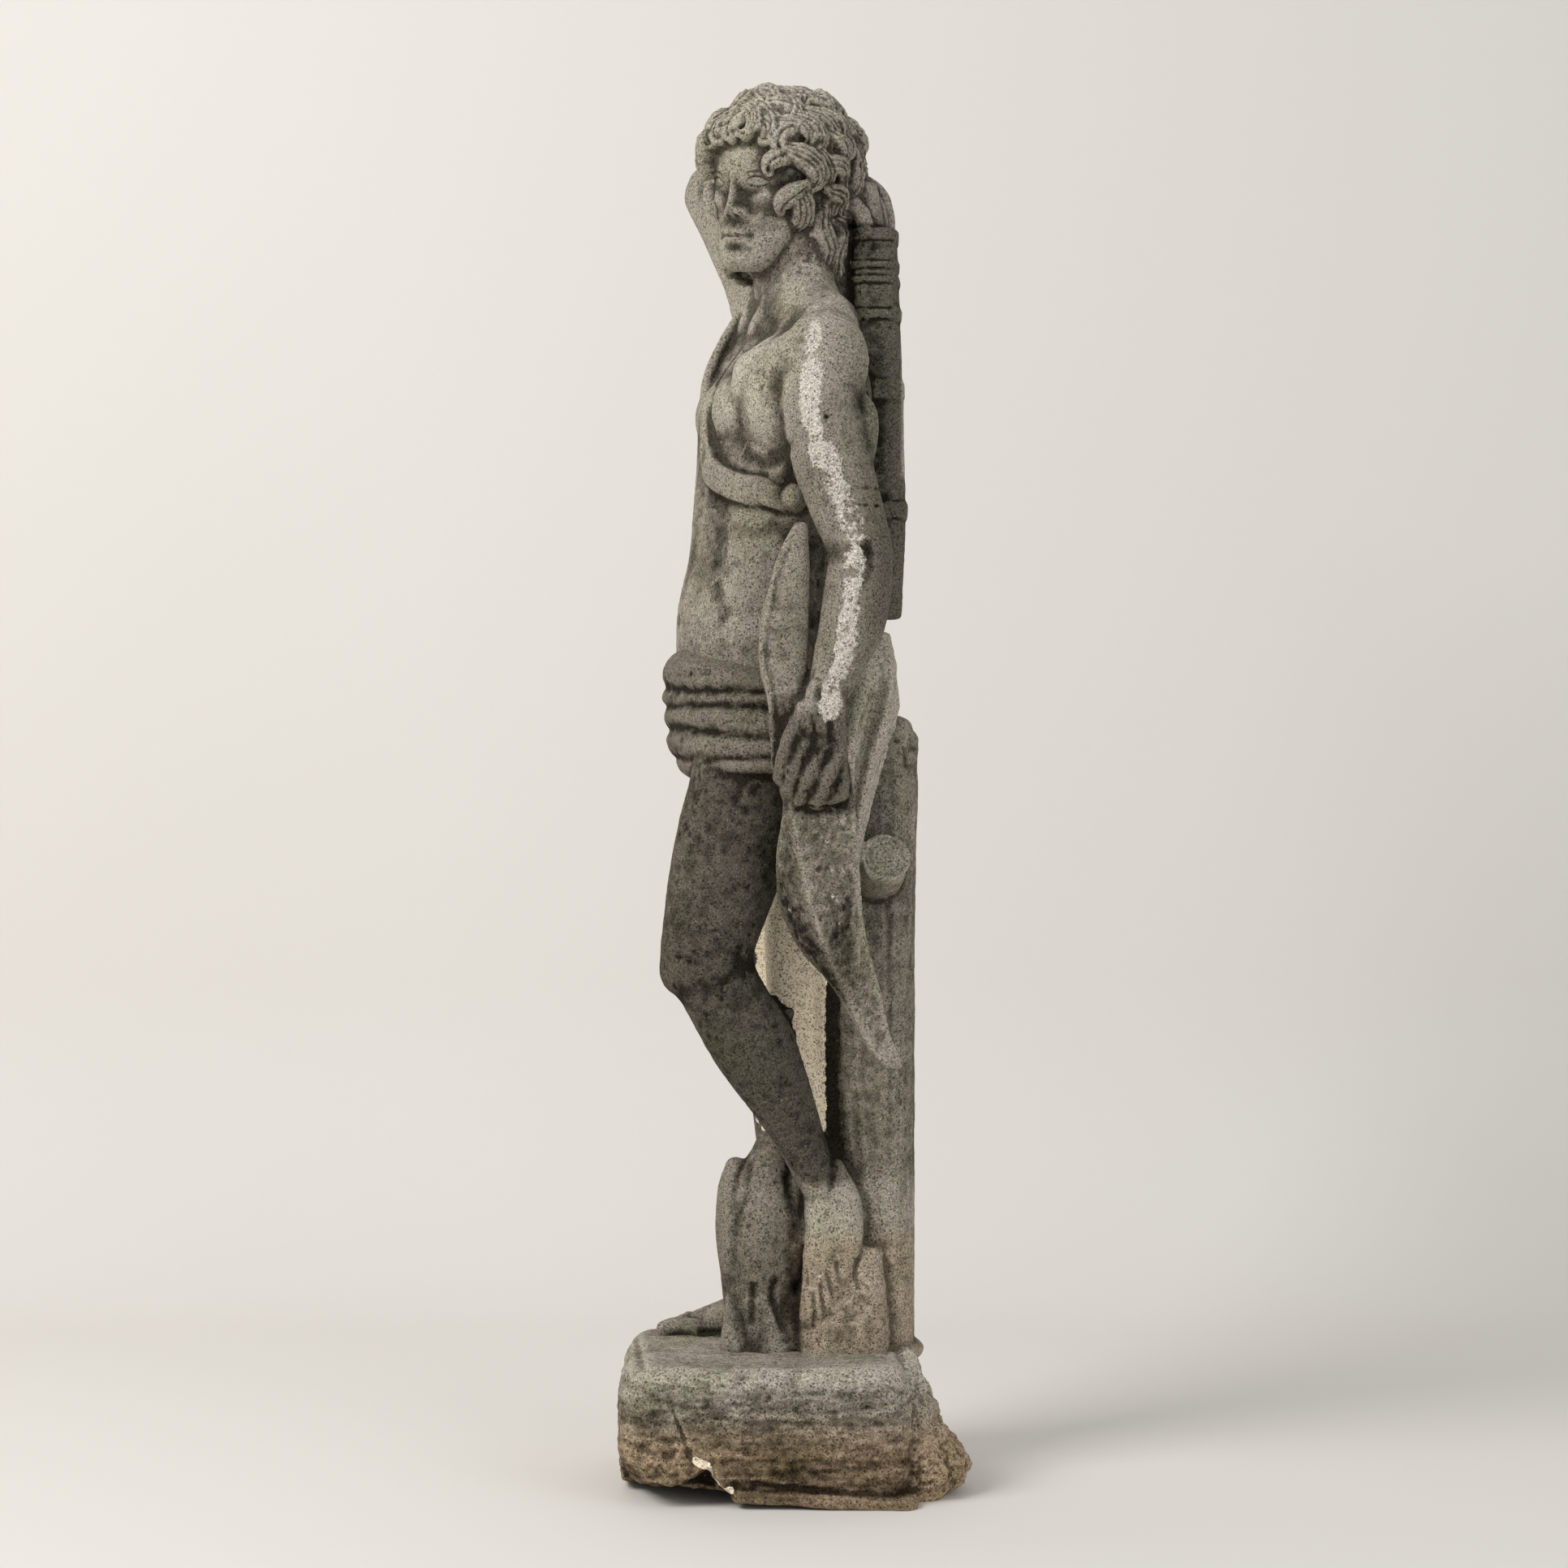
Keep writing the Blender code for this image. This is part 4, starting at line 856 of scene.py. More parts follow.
def feet(clay):
    # the left foot stands on its toes on a wedge of rock, turned to the figure's left
    form(clay, [(24, 70, 372, 26, 25), (27, 80, 335, 34, 28), (32, 82, 305, 35, 26), (35, 79, 278, 34, 22),
                (37, 74, 252, 31, 18), (38, 68, 232, 26, 14)], leftward, 6, 36, 2.6)
    ball(clay, (14, 100, 318), (26, 21, 24))
    for (y0, z0), (y1, z1), size in (((51, 240), (50.5, 201), 9.2), ((61.5, 250), (64, 212), 8.2),
                                     ((71, 260), (75.5, 227), 7.8), ((80.5, 270), (85, 241), 7.4),
                                     ((90, 278), (94.5, 253), 7)):
        form(clay, [(44, y0, z0, size), (48, (y0 + y1) / 2, (z0 + z1) / 2, size * 1.1),
                    (49, y1, z1, size * 1.15)], leftward, 4, 16)
    # the right foot lies flat, pointing forward
    form(clay, [(-108, 50, 182, 26, 24), (-110, 10, 190, 30, 36), (-112, -40, 180, 36, 24),
                (-114, -85, 170, 38, 15)], upward, 6, 28)
    for i in range(5):
        x, front, size = -84 - 15.5 * i, -136 + 7 * i, 8 if i else 10.5
        form(clay, [(x, -85, 171, size), (x, (front - 85) / 2, 172, size), (x, front + size, 167, size)],
             upward, 4, 14)


def loincloth(clay):
    # a cloth wound low round the hips: rolls that meet in sharp creases
    left, fore = heading(casting["hipTurn"])
    creases = np.array(mm(support["creases"]))
    rolls, around, steps = len(creases) - 1, 150, 12
    rings = []
    for roll in range(rolls):
        above, below = creases[roll], creases[roll + 1]
        for k in range(steps + (roll == rolls - 1)):
            t = k / steps
            base = above * (1 - t) + below * t
            ring = []
            for i in range(around):
                a = 2 * math.pi * i / around
                c, s = math.cos(a), math.sin(a)
                share = max(0.0, c) if s >= 0 else 0.5 + 0.5 * c
                z0, z1 = (edge[1] + (edge[0] - edge[1]) * share + 0.0022 * math.sin(3 * a + 2.1 * row)
                          for edge, row in ((above, roll), (below, roll + 1)))
                swell = (above[4] * (1 + 0.18 * math.sin(2 * a + 3.0 * roll))
                         * (1 - abs(2 * t - 1) ** 2.2) ** 0.72)
                front = base[3] if c > 0 else 0.100
                reach = (abs(s / base[2]) ** 2.5 + abs(c / front) ** 2.5) ** -0.4 + swell - 0.004
                ring.append(Vector((-0.010, -0.012, z0 + (z1 - z0) * t)) + (left * s + fore * c) * reach)
            rings.append(ring)
    rings.insert(0, [p * 0.8 + Vector((0, 0, 0.2 * p.z - 0.012)) for p in rings[0]])
    rings.append([p * 0.86 + Vector((0, 0, 0.14 * p.z + 0.016)) for p in rings[-1]])
    skinRings(clay, rings)


def drapery(clay):
    # the loincloth's end, hanging behind the left forearm in two broad folds
    rings = []
    for row in smoothRows([[row[0],
     *[v for point in row[1:] for v in point]] for row in mm(support["drape"])], 7):
        across = smoothRows(row[1:].reshape(-1, 2), 8)
        back = np.linspace(across[-1][0] - 0.012, across[0][0], 8)
        rings.append([Vector((x, y, row[0])) for y, x in across] + [Vector((0.050, y,
         row[0])) for y in back])
    skinRings(clay, rings)


def trunk(clay):
    form(clay, [(-46, 128, 150, 74, 70, 52), (-46, 130, 230, 68, 64, 50), (-45, 130, 360, 66, 64, 50),
                (-43, 130, 560, 68, 64, 50), (-40, 132, 720, 68, 62, 49), (-36, 136, 830, 64, 56, 48),
                (-32, 142, 896, 56, 44, 42)], ahead, 6, 44, 2.5, 0.25)
    form(clay, [(0, 150, 870, 30, 24), (4, 160, 902, 24, 18)], ahead, 3, 18)
    # the web of stone left between the trunk and the standing leg, and the flat fill behind the knee
    form(clay, [(-78, 62, 190, 26, 30), (-80, 58, 500, 30, 34), (-76, 62, 830, 36, 40)], ahead, 4, 18)
    form(clay, [(-36, 58, 410, 44, 22), (-26, 40, 520, 56, 30), (-22, 34, 620, 60, 34),
                (-26, 34, 720, 56, 34), (-34, 34, 810, 48, 40)], ahead, 4, 24, 3.6)


def stub(clay):
    # what is left of a lopped branch, cut square across
    form(clay, [(-10, 129, 716, 34), (44, 136.5, 735, 31), (80, 141.5, 747, 28.5)], upward, 5, 40, 2.0, 0.03)


def bird(clay):
    # it stands at the right foot, wings folded, its neck reaching up behind the shin
    form(clay, [(-16, -4, 158, 44, 51), (-16, -5, 190, 42, 50), (-16, -6, 225, 46, 51), (-16, -4, 268, 52,
     54),
                (-16, -4, 306, 53, 56), (-18, -3, 342, 46, 51), (-20, 4, 372, 31, 40), (-24, 12, 404, 22,
                 30),
                (-28, 18, 436, 18, 22)], leftward, 6, 40)
    ball(clay, (-34, 24, 450), (17, 21, 16))
    form(clay, [(-30, 34, 448, 8), (-24, 52, 438, 3)], upward, 3, 12)
    for side in (-1, 1):
        y = -4 + 31 * side
        form(clay, [(-20, y, 376, 13, 20), (-18, y + 4 * side, 345, 18, 36), (-16, y + 7 * side, 300, 18,
         44),
                    (-16, y + 4 * side, 250, 15, 36), (-16, y - 2 * side, 212, 10, 20)], leftward, 6, 24)
        form(clay, [(6, y - side, 222, 14, 14), (14, y + side, 192, 15, 14), (20, y, 164, 19, 16)],
             leftward, 4, 18)
    form(clay, [(18, 0, 244, 10, 12), (20, 4, 205, 14, 15), (24, 10, 160, 24, 20)], leftward, 4, 20)


def rock(clay):
    # the wedge under the raised left foot, with stone left between it and the bird
    form(clay, [(-10, 94, 150, 56, 68, 50), (-10, 94, 200, 55, 67, 50), (-11, 98, 245, 49, 64, 40),
                (-12, 108, 284, 34, 54, 30)], leftward, 5, 36, 3.6, 0.2)
    form(clay, [(-12, 34, 165, 20), (-14, 36, 250, 18), (-18, 40, 330, 14)], leftward, 3, 14)
    form(clay, [(-20, -4, 160, 36, 20), (-20, -4, 215, 34, 20)], leftward, 3, 18)


def mounds(clay):
    # stone spread round the foot of everything where it meets the block
    for x, y, *radii in ((-46, 120, 92, 72, 20), (-10, 92, 68, 74, 16), (-12, -4, 60, 62, 14),
                         (-110, -30, 54, 120, 12), (-90, 60, 50, 70, 18)):
        ball(clay, (x, y, 152), radii, (0, 0, 0), 40, 18)


def supportForms():
    flesh = fusedForms("legs", (hips, legs, trunk), support["fleshVoxel"], support["fleshCrease"], 3)
    clay = bmesh.new()
    pressInto(clay, flesh)
    return fusedForms("legs_trunk_and_bird", (feet, loincloth, drapery, stub, bird, rock, mounds),
                      support["voxel"], support["crease"], 1, clay)


# the block under it all

block = {
    "voxel": 2,
    "crease": 2,
    "triangles": 150000,
    "wear": {"broad": 1.4, "small": 0.6, "pits": 1.4},
    "stone": {"name": "blockStone", "grains": 560, "pits": 300, "pitShare": 0.48, "patches": 20,
              "patchStrength": 0.34, "hollowStrength": 0.36, "relief": 1.5},
    "broken": (  # middle, size and turn in degrees of what is lost
        ((171.2, -3, -10.2), (600, 800, 60), (-5.6, -12, 0)),
        ((150, -196, 26), (160, 90, 90), (40, -10, 12)), ((166, -66, 16), (60, 36, 56), (24, -20, 8)),
        ((170, -50, 4), (50, 30, 40), (-30, -10, 0)), ((-40, -178, 176), (420, 60, 30), (-14, 0, 5))),
    "mortar": (  # height, how far it stands out behind, half its width along the block
        (150, 172, 56), (125, 181, 62), (96, 192, 68), (70, 201, 74), (52, 219, 78), (36, 228, 78),
        (21, 226, 74), (6, 202, 66)),
    "clods": 320,
    "strokes": (  # cut from the figure's left: (Y, Z) along each, width, depth
        (((-106, 116), (-98, 96), (-90, 74), (-81, 50)), 2.8, 3),
        (((-60, 36), (0, 30), (70, 22), (150, 16)), 5, 2),
        (((-168, 110), (-140, 98), (-112, 112)), 24, 4), (((-150, 70), (-124, 74), (-100, 64)), 22, 4)),
    "shade": 0.45,
    "boxes": (),
    "spots": (  # the pale rim
        ("lichen", (160, -110, 152), (50, 45, 10), 0.34),
        ("lichen", (160, 130, 150), (50, 40, 12), 0.36)),
}


def breakOff(obj, pieces):
    gone = []
    for place, size, turn in pieces:
        shape = bmesh.new()
        spin = Euler([math.radians(a) for a in turn]).to_matrix().to_4x4()
        bmesh.ops.create_cube(
            shape, size=1, matrix=Matrix.Translation(mm(place)) @ spin @ Matrix.Diagonal((*mm(size), 1)))
        gone.append(makeObject("broken_piece", shape))
        cut = obj.modifiers.new("break", "BOOLEAN")
        cut.operation, cut.object = "DIFFERENCE", gone[-1]
    bakeModifiers(obj)
    for piece in gone:
        bpy.data.objects.remove(piece)


def blockForms():
    wide, deep = casting["blockHalf"]
    top = casting["blockTop"]
    clay = bmesh.new()
    # height, and how far the block draws in there
    form(clay, [(0, 0, z, deep - less, wide - less) for z, less in
                ((-12, 2), (60, 0), (118, 0), (top - 17, 3), (top - 6, 9), (top, 20))],
         leftward, 5, 96, 8.0, 0.0)
    made = makeObject("block_core", clay)
    breakOff(made, block["broken"])
    clay = bmesh.new()
    pressInto(clay, made)
    # the smooth lower band with its round end
    form(clay, [(140, -30, 16, 28, 10), (140, 80, 10, 29, 10), (140, 166, 3, 29, 12)], upward, 5, 24, 4.0,
     1.0)
    # mortar left on the back, crumbled into clods
    slope = smoothRows(mm(block["mortar"]), 6)
    loft(clay, [(0.052, 0.130 + (out - 0.150) / 2, z, half, (out - 0.130) / 2) for z, out, half in slope],
         (0, 1, 0), 2, 40, 3.0, 0.2)
    rng = np.random.default_rng(5)
    for _ in range(block["clods"]):
        z, out, half = slope[rng.integers(len(slope))]
        across = rng.uniform(-1, 1)
        size = rng.uniform(0.004, 0.015)
        egg(clay, (0.052 + half * across * 0.95, 0.150 + (out - 0.152) * (1 - across**4), max(z,
         size * 0.8)),
            (size * rng.uniform(0.8, 1.5), size * rng.uniform(0.7, 1.2), size), (0, 0, rng.uniform(0, 90)),
             10, 6)
    return fusedForms("block", (), block["voxel"], block["crease"], 1, clay)


# relief cut into the fused pieces

def around(skin, points, middle):
    # points as (bearing from the front, height), seen level from outside toward a middle (X, Y)
    out = []
    for bearing, z in points:
        way = heading(bearing + casting["chestTurn"])[1]
        out.append(skin.land(Vector((*middle, z)) + way * 0.5, -way))
    return out


def onFace(skin, points, spin):
    fore = spin.to_3x3() @ Vector((0, 1, 0))
    return [skin.land(spin @ Vector((x, -0.3, z)), fore) for x, z in points]


def cutFromSide(skin, strokes):
    for points, width, depth in mm(strokes):
        carve(skin, fromSide(skin, points), width, depth)


def roughen(skin, *patches):
    # rougher patches inside boxes with soft sides: two corners, softness, size of lumps, height, seed
    for *lengths, seed in patches:
        low, high, soft, size, amount = (np.array(v) for v in mm(lengths))
        inside = np.minimum(skin.co - low, high - skin.co).min(1)
        who = np.nonzero(inside > -soft / 2)[0]
        share = np.clip(inside[who] / soft + 0.5, 0, 1)
        rough = lumps(skin.co[who], size, seed) + 0.5 * lumps(skin.co[who], size * 0.45, seed + 1)
        skin.co[who] += skin.normal[who] * (amount * share * rough)[:, None]


def sculptArcher(skin, locks):
    spin = headFrame()
    for bearings, z, wide, tall, out in archer["muscles"]:
        for at in roundTorso(skin, [(bearing, z) for bearing in bearings]):
            dab(skin, at, mm((wide, wide, tall)), out / 1000)
    rubDown(skin, (190, 50, 865), (50, 50, 72), 10)
    skin.settle()
    for grooves, (hole, radius, depth) in locks:
        for line in grooves:
            carve(skin, line, 0.0040, 0.0024, 0.10, 1.3)
        if depth:
            dab(skin, hole, radius, -depth)
    cutFromSide(skin, archer["strokes"])
    for y, z, radius, depth in mm(archer["drilled"]):
        dab(skin, fromSide(skin, [(y, z)])[0], radius, -depth)
    # navel, spine and breastbone
    dab(skin, roundTorso(skin, [(-8, 1028)])[0], 0.006, -0.006)
    carve(skin, roundTorso(skin, [(180, z) for z in (1340, 1240, 1140, 1040)]), 0.018, 0.0045)
    carve(skin, roundTorso(skin, [(0, z) for z in (1310, 1260, 1200)]), 0.012, 0.0025)
    skin.settle()
    # eyelids, nostrils and the line between the lips
    for side in (-1, 1):
        for lid, width, depth in mm(faceForm["lids"]):
            carve(skin, onFace(skin, [(x * side, z) for x, z in lid], spin), width, depth)
        dab(skin, onFace(skin, [(0.0062 * side, -0.0392)], spin)[0], 0.0024, -0.0020)
    lips = [(x, -0.0616 - 0.0008 * math.cos(x * 300)) for x in mm((-18.5, -12, -6, 0, 6, 12, 18.5))]
    carve(skin, onFace(skin, lips, spin), 0.0020, 0.0011)
    roughen(skin, ((90, -20, 500), (250, 180, 800), 20, (6, 6, 10), 0.6, 71),
            ((150, 0, 810), (250, 120, 930), 20, (7, 7, 18), 0.8, 72),
            ((-100, 98, 980), (100, 260, 1500), 10, (16, 16, 10), 0.3, 73))
    # the bands round the quiver have crisp edges
    for z in (1497, 1480, 1457, 1447, 1439, 1429, 1400, 1386, 1314, 1294, 1170, 1150):
        carve(skin, fromSide(skin, [(y, z / 1000) for y in np.linspace(0.104, 0.166, 6)]),
              0.0034, 0.0016, 0.1)
    # worn hair, smooth face
    before = skin.co.copy()
    roughen(skin, ((-120, -100, 1430), (130, 130, 1680), 10, 6.5, 0.9, 74))
    inward = np.array(spin.inverted())
    x, y, z = (before @ inward[:3, :3].T + inward[:3, 3]).T
    onFlesh = ((y < 0) & (np.abs(x) < 0.066) & (z < 0.046)) | (z < -0.118)
    skin.co[onFlesh] = before[onFlesh]
    weatherSkin(skin, archer["wear"], 11)


def sculptSupport(skin):
    for place in support["rubbed"]:
        rubDown(skin, *place)
    skin.settle()
    cutFromSide(skin, support["strokes"])
    # growth rings on the sawn face of the stub, and its raised rim
    middle, axis = Vector((0.080, 0.1415, 0.747)), Vector((0.94, 0.12, 0.28)).normalized()
    side = axis.cross(Vector(upward)).normalized()
    up = side.cross(axis)
    for radius, depth in mm(((6, 1.6), (12, 1.4), (17.5, 1.6), (22.5, 2), (27, -2.2))):
        ring = []
        for a in np.linspace(0, 2 * math.pi, 26):
            wobble = radius * (1 + 0.07 * math.sin(3 * a + radius * 400))
            ring.append(middle + (side * math.cos(a) + up * math.sin(a)) * wobble)
        carve(skin, [skin.land(p + axis * 0.03, -axis) for p in ring], 0.0032, depth, 0)
    # short slanting creases in the cloth
    rng = np.random.default_rng(3)
    for _ in range(26):
        bearing, z = rng.uniform(140, 400), rng.uniform(0.858, 0.975)
        slant = rng.uniform(-0.006, 0.006)
        carve(skin, around(skin, [(bearing + k * 7, z + slant * k) for k in range(4)], (-0.010, -0.012)),
              rng.uniform(0.007, 0.012), rng.uniform(0.0006, 0.0014))
    skin.settle()
    # trunk, fill behind the knee, rock, hanging cloth and loincloth
    roughen(skin, ((-130, 70, 300), (60, 260, 960), 30, (10, 10, 60), 0.6, 81),
            ((-60, 5, 430), (20, 70, 720), 16, 9, 1.7, 82),
            ((-80, 40, 140), (90, 160, 290), 16, 14, 1, 83),
            ((60, 45, 730), (180, 180, 1000), 16, (8, 8, 22), 0.7, 84),
            ((-200, -200, 845), (200, 200, 990), 12, (36, 36, 12), 1.1, 85))
    weatherSkin(skin, support["wear"], 23)


def sculptBlock(skin):
    cutFromSide(skin, block["strokes"])
    # bites out of the upper rim
    (wide, deep), top = mm(casting["blockHalf"]), casting["blockTop"] / 1000
    rng = np.random.default_rng(12)
    for _ in range(120):
        t = rng.uniform(-1, 1)
        edge = [(wide, t * deep), (-wide, t * deep), (t * wide, deep), (t * wide, -deep)][rng.integers(4)]
        size = rng.uniform(0.004, 0.016)
        dab(skin, (*edge, top - rng.uniform(0, 0.014)), (size, size, size * 0.8),
            -size * rng.uniform(0.10, 0.34))
    skin.settle()
    # the whole block twice, then its back and the broken near corner
    roughen(skin, ((-300, -300, 12), (300, 400, 155), 12, (55, 55, 9), 1.1, 91),
            ((-300, -300, 12), (300, 400, 155), 12, (16, 16, 10), 0.9, 92),
            ((-300, 170, 0), (300, 400, 300), 10, 6, 1.6, 93),
            ((50, -300, 4), (300, -80, 75), 20, 14, 2.4, 94))
    weatherSkin(skin, block["wear"], 37)
    # the underside stays flat
    skin.co[:, 2] = np.maximum(skin.co[:, 2], cadBox[0][2])


# weather and painted shade: masks painted on the thinned skin, which the materials read

def hollows(skin):
    # how far each point lies in a hollow (above 0) or on an edge (below 0), fine and broad together
    score = np.zeros(len(skin.co))
    place = skin.co
    for rounds, weight in ((4, 1100.0), (24, 330.0)):
        for _ in range(rounds):
            place = skin.spread(place)
        score += weight * ((place - skin.co) * skin.normal).sum(1)
    return np.clip(score, -1.0, 0.85)


def ease(t):
    t = np.clip(t, 0, 1)
    return t * t * (3 - 2 * t)


def paintLine(values, skin, points, width, amount):
    line = [p for p in fromSide(skin, mm(points)) if p is not None]
    if len(line) > 1:
        width /= 1000
        who, off, _ = closeTo(skin.co, smoothRows(line, 5), width)
        values[who] = np.maximum(values[who], amount * ease(1.4 * (1 - off / width)))


def paint(obj, looks, ownMarks, seed):
    skin = Skin(obj)
    # the hollow mask darkens hollows as dirt and painted shade; the shade mask holds dark stains together
    # with painted shade and painted light
    masks = {"hollow": hollows(skin), "shade": np.full(len(skin.co), looks["shade"])}
    masks.update((name, np.zeros(len(skin.co))) for name in ("lichen", "cream", "earth"))
    # boxes with soft sides move a mask toward an amount
    for name, low, high, soft, amount in looks["boxes"]:
        low, high = np.array(mm(low)), np.array(mm(high))
        share = ease(np.minimum(skin.co - low, high - skin.co).min(1) / (soft / 1000) + 0.5)
        masks[name] += (amount - masks[name]) * share
    ownMarks(skin, masks)
    for name, at, radii, amount in looks["spots"]:
        off = (skin.co - np.array(mm(at))) / np.array(mm(radii))
        masks[name] += amount * np.exp(-(off**2).sum(1))
    # broad and small blotches, weaker where the stone is dark already
    shade = masks["shade"]
    shade += np.clip(1.45 - shade, 0.35, 1) * (
        0.08 * lumps(skin.co, 0.110, seed) + 0.05 * lumps(skin.co, 0.034, seed + 1)
        + 0.05 * lumps(skin.co, (0.012, 0.012, 0.070), seed + 2))
    for name, values in masks.items():
        mask = obj.data.attributes.new(name, "FLOAT", "POINT")
        mask.data.foreach_set("value", np.asarray(values, np.float32))


def markArcher(skin, masks):
    # painted shade: the narrow front face of the bow's lower limb, turned from the light, is the darker one
    x, y, z = skin.co.T
    limb = np.array(mm(bowLimb))[::-1]
    onLimb = (x > 0.070) & (z < 0.802) & (z > 0.5)
    masks["shade"][onLimb] += (0.24 * ease((np.interp(z, limb[:, 0], limb[:, 2]) - y) / 0.004 + 0.5))[onLimb]
    for line, width, cover in archer["drip"]:
        paintLine(masks["lichen"], skin, line, width, cover)
    masks["lichen"] *= 1 + 0.75 * lumps(skin.co, 0.016, 5)


def markSupport(skin, masks):
    # the pale fill lies behind the knee only
    x, y, z = skin.co.T
    masks["cream"] *= ease((skin.normal[:, 0] + 0.25) / 0.5)
    masks["cream"][(y < 0.012 - 0.10 * (z - 0.60)) & (x > 0.046)] = 0


def markBlock(skin, masks):
    y, z = skin.co.T[1:]
    masks["earth"] += ease((0.130 - z) / 0.07)
    shade = masks["shade"]
    shade += 0.25 * ease((0.075 - z) / 0.05)
    shade -= 0.24 * ease((z - 0.130) / 0.02)
    # the mortar behind the block is paler, and a painted highlight runs along the block's back edge
    shade -= 0.36 * ease((y - 0.172) / 0.012) + 0.24 * np.exp(-((y - 0.170) / 0.006)**2)
    shade += 0.10 * lumps(skin.co, (0.060, 0.060, 0.010), 9)
    # the fresh pale break beside the notch
    paintLine(masks["cream"], skin, ((-78, 56), (-66, 50), (-60, 40), (-50, 26), (-40, 22)), 7, 1.2)


# stone materials

def node(tree, kind, inputs, **settings):
    # inputs by name or number, each a value or another node's output; hands back the new outputs
    made = tree.nodes.new("ShaderNode" + kind)
    for name, value in settings.items():
        setattr(made, name, value)
    for name, value in inputs.items():
        socket = made.inputs[name]
        if isinstance(value, bpy.types.NodeSocket):
            tree.links.new(value, socket)
        elif isinstance(value, tuple) and len(socket.default_value) == 4:
            socket.default_value = (*value, 1)
        else:
            socket.default_value = value
    return made.outputs


def calc(tree, operation, a, b, clamp=False):
    return node(tree, "Math", {0: a, 1: b}, operation=operation, use_clamp=clamp)[0]


def remap(tree, value, low, high, toLow=0.0, toHigh=1.0):
    return node(tree, "MapRange", {"Value": value, "From Min": low, "From Max": high, "To Min": toLow,
                                   "To Max": toHigh})[0]


def noise(tree, place, scale, detail, roughness):
    return node(tree, "TexNoise", {"Vector": place, "Scale": scale, "Detail": detail,
                                   "Roughness": roughness})


def mix(tree, blend, share, a, b):
    return node(tree, "Mix", {0: share, 6: a, 7: b},
                data_type="RGBA", blend_type=blend, clamp_result=False)[2]


def newGroup(name, inputs, outputs):
    group = bpy.data.node_groups.new(name, "ShaderNodeTree")
    for label, value in inputs.items():
        socket = group.interface.new_socket(label, in_out="INPUT", socket_type="NodeSocketFloat")
        socket.default_value = value
    for label in outputs:
        group.interface.new_socket(label, in_out="OUTPUT", socket_type="NodeSocketFloat")
    given, out = group.nodes.new("NodeGroupInput").outputs, group.nodes.new("NodeGroupOutput").inputs
    return group, given, out, node(group, "TexCoord", {})["Object"]


def buildGritGroup():
    # sand and lost grit: light and dark grains, deep pits and their height
    group, given, out, place = newGroup(
        "grit", {"Grains per metre": 420, "Pits per metre": 190, "Pit share": 0.5},
        ("Grain", "Pits", "Height"))
    # a little drift keeps the pits from looking like a row of beads
    moved = node(group, "VectorMath", {0: noise(group, place, 260, 2, 0.6)["Color"],
                                       1: (0.0034,) * 3, 2: place}, operation="MULTIPLY_ADD")[0]
    fine = remap(group, noise(group, place, given["Grains per metre"], 2, 0.7)["Fac"], 0.36, 0.64)
    sand = node(group, "TexVoronoi", {"Scale": given["Grains per metre"], "Vector": moved})
    tone = node(group, "SeparateColor", {"Color": sand["Color"]})[1]
    grain = calc(group, "MULTIPLY", calc(group, "ADD", fine, tone), 0.5)
    cells = node(group, "TexVoronoi", {"Scale": given["Pits per metre"], "Vector": moved})
    chosen = node(group, "SeparateColor", {"Color": cells["Color"]})[0]
    pits = calc(group, "MULTIPLY", remap(group, cells["Distance"], 0.22, 0.46, 1, 0),
                calc(group, "LESS_THAN", chosen, given["Pit share"]))
    height = calc(group, "SUBTRACT", calc(group, "MULTIPLY", grain, 0.8), pits)
    for name, value in (("Grain", grain), ("Pits", pits), ("Height", height)):
        group.links.new(value, out[name])
    return group


def buildAgeAndShadeGroup():
    # where the stone darkens: the shade mask, which holds algae, soot and painted shade; painted shade and
    # dirt in hollows and under ledges; and drifting patches
    group, given, out, place = newGroup(
        "ageAndShade", {"Shade": 0.5, "Hollow": 0, "Patches per metre": 26, "Patch strength": 0.3,
                "Hollow strength": 0.3}, ("Dark", "Green"))
    patch = calc(group, "SUBTRACT", noise(group, place, given["Patches per metre"], 6, 0.62)["Fac"], 0.5)
    patch = calc(group, "MULTIPLY", calc(group, "MULTIPLY", patch, given["Patch strength"]), 2.4)
    deep = calc(group, "MULTIPLY", given["Hollow"], given["Hollow strength"])
    group.links.new(calc(group, "ADD", calc(group, "ADD", given["Shade"], patch), deep, True), out["Dark"])
    group.links.new(remap(group, noise(group, place, 11, 4, 0.6)["Fac"], 0.46, 0.66), out["Green"])
    return group


def buildCrustGroup():
    # turns a soft mask into a crust with a ragged edge
    group, given, out, place = newGroup(
        "crust", {"Cover": 0, "Lumps per metre": 75, "Raggedness": 2}, ("Mask",))
    edge = calc(group, "SUBTRACT", noise(group, place, given["Lumps per metre"], 5, 0.7)["Fac"], 0.5)
    total = calc(group, "ADD", given["Cover"], calc(group, "MULTIPLY", edge, given["Raggedness"]))
    group.links.new(remap(group, total, 0.4, 0.56), out["Mask"])
    return group


gritGroup = buildGritGroup()
ageAndShadeGroup = buildAgeAndShadeGroup()
crustGroup = buildCrustGroup()

stoneColours = {
    "ramp": ((0.0, (0.47, 0.432, 0.372)), (0.25, (0.345, 0.313, 0.266)), (0.5, (0.205, 0.183, 0.152)),
             (0.75, (0.102, 0.090, 0.073)), (1.0, (0.024, 0.020, 0.015))),
    "algae": (0.86, 0.90, 0.80),
    "lichen": (0.56, 0.53, 0.475),
    "cream": (0.98, 0.86, 0.67),
    "earth": (0.98, 0.80, 0.64),
    "grainDark": (0.34, 0.33, 0.32),
    "grainLight": (1.74, 1.72, 1.68),
    "pit": (0.40, 0.38, 0.35),
}


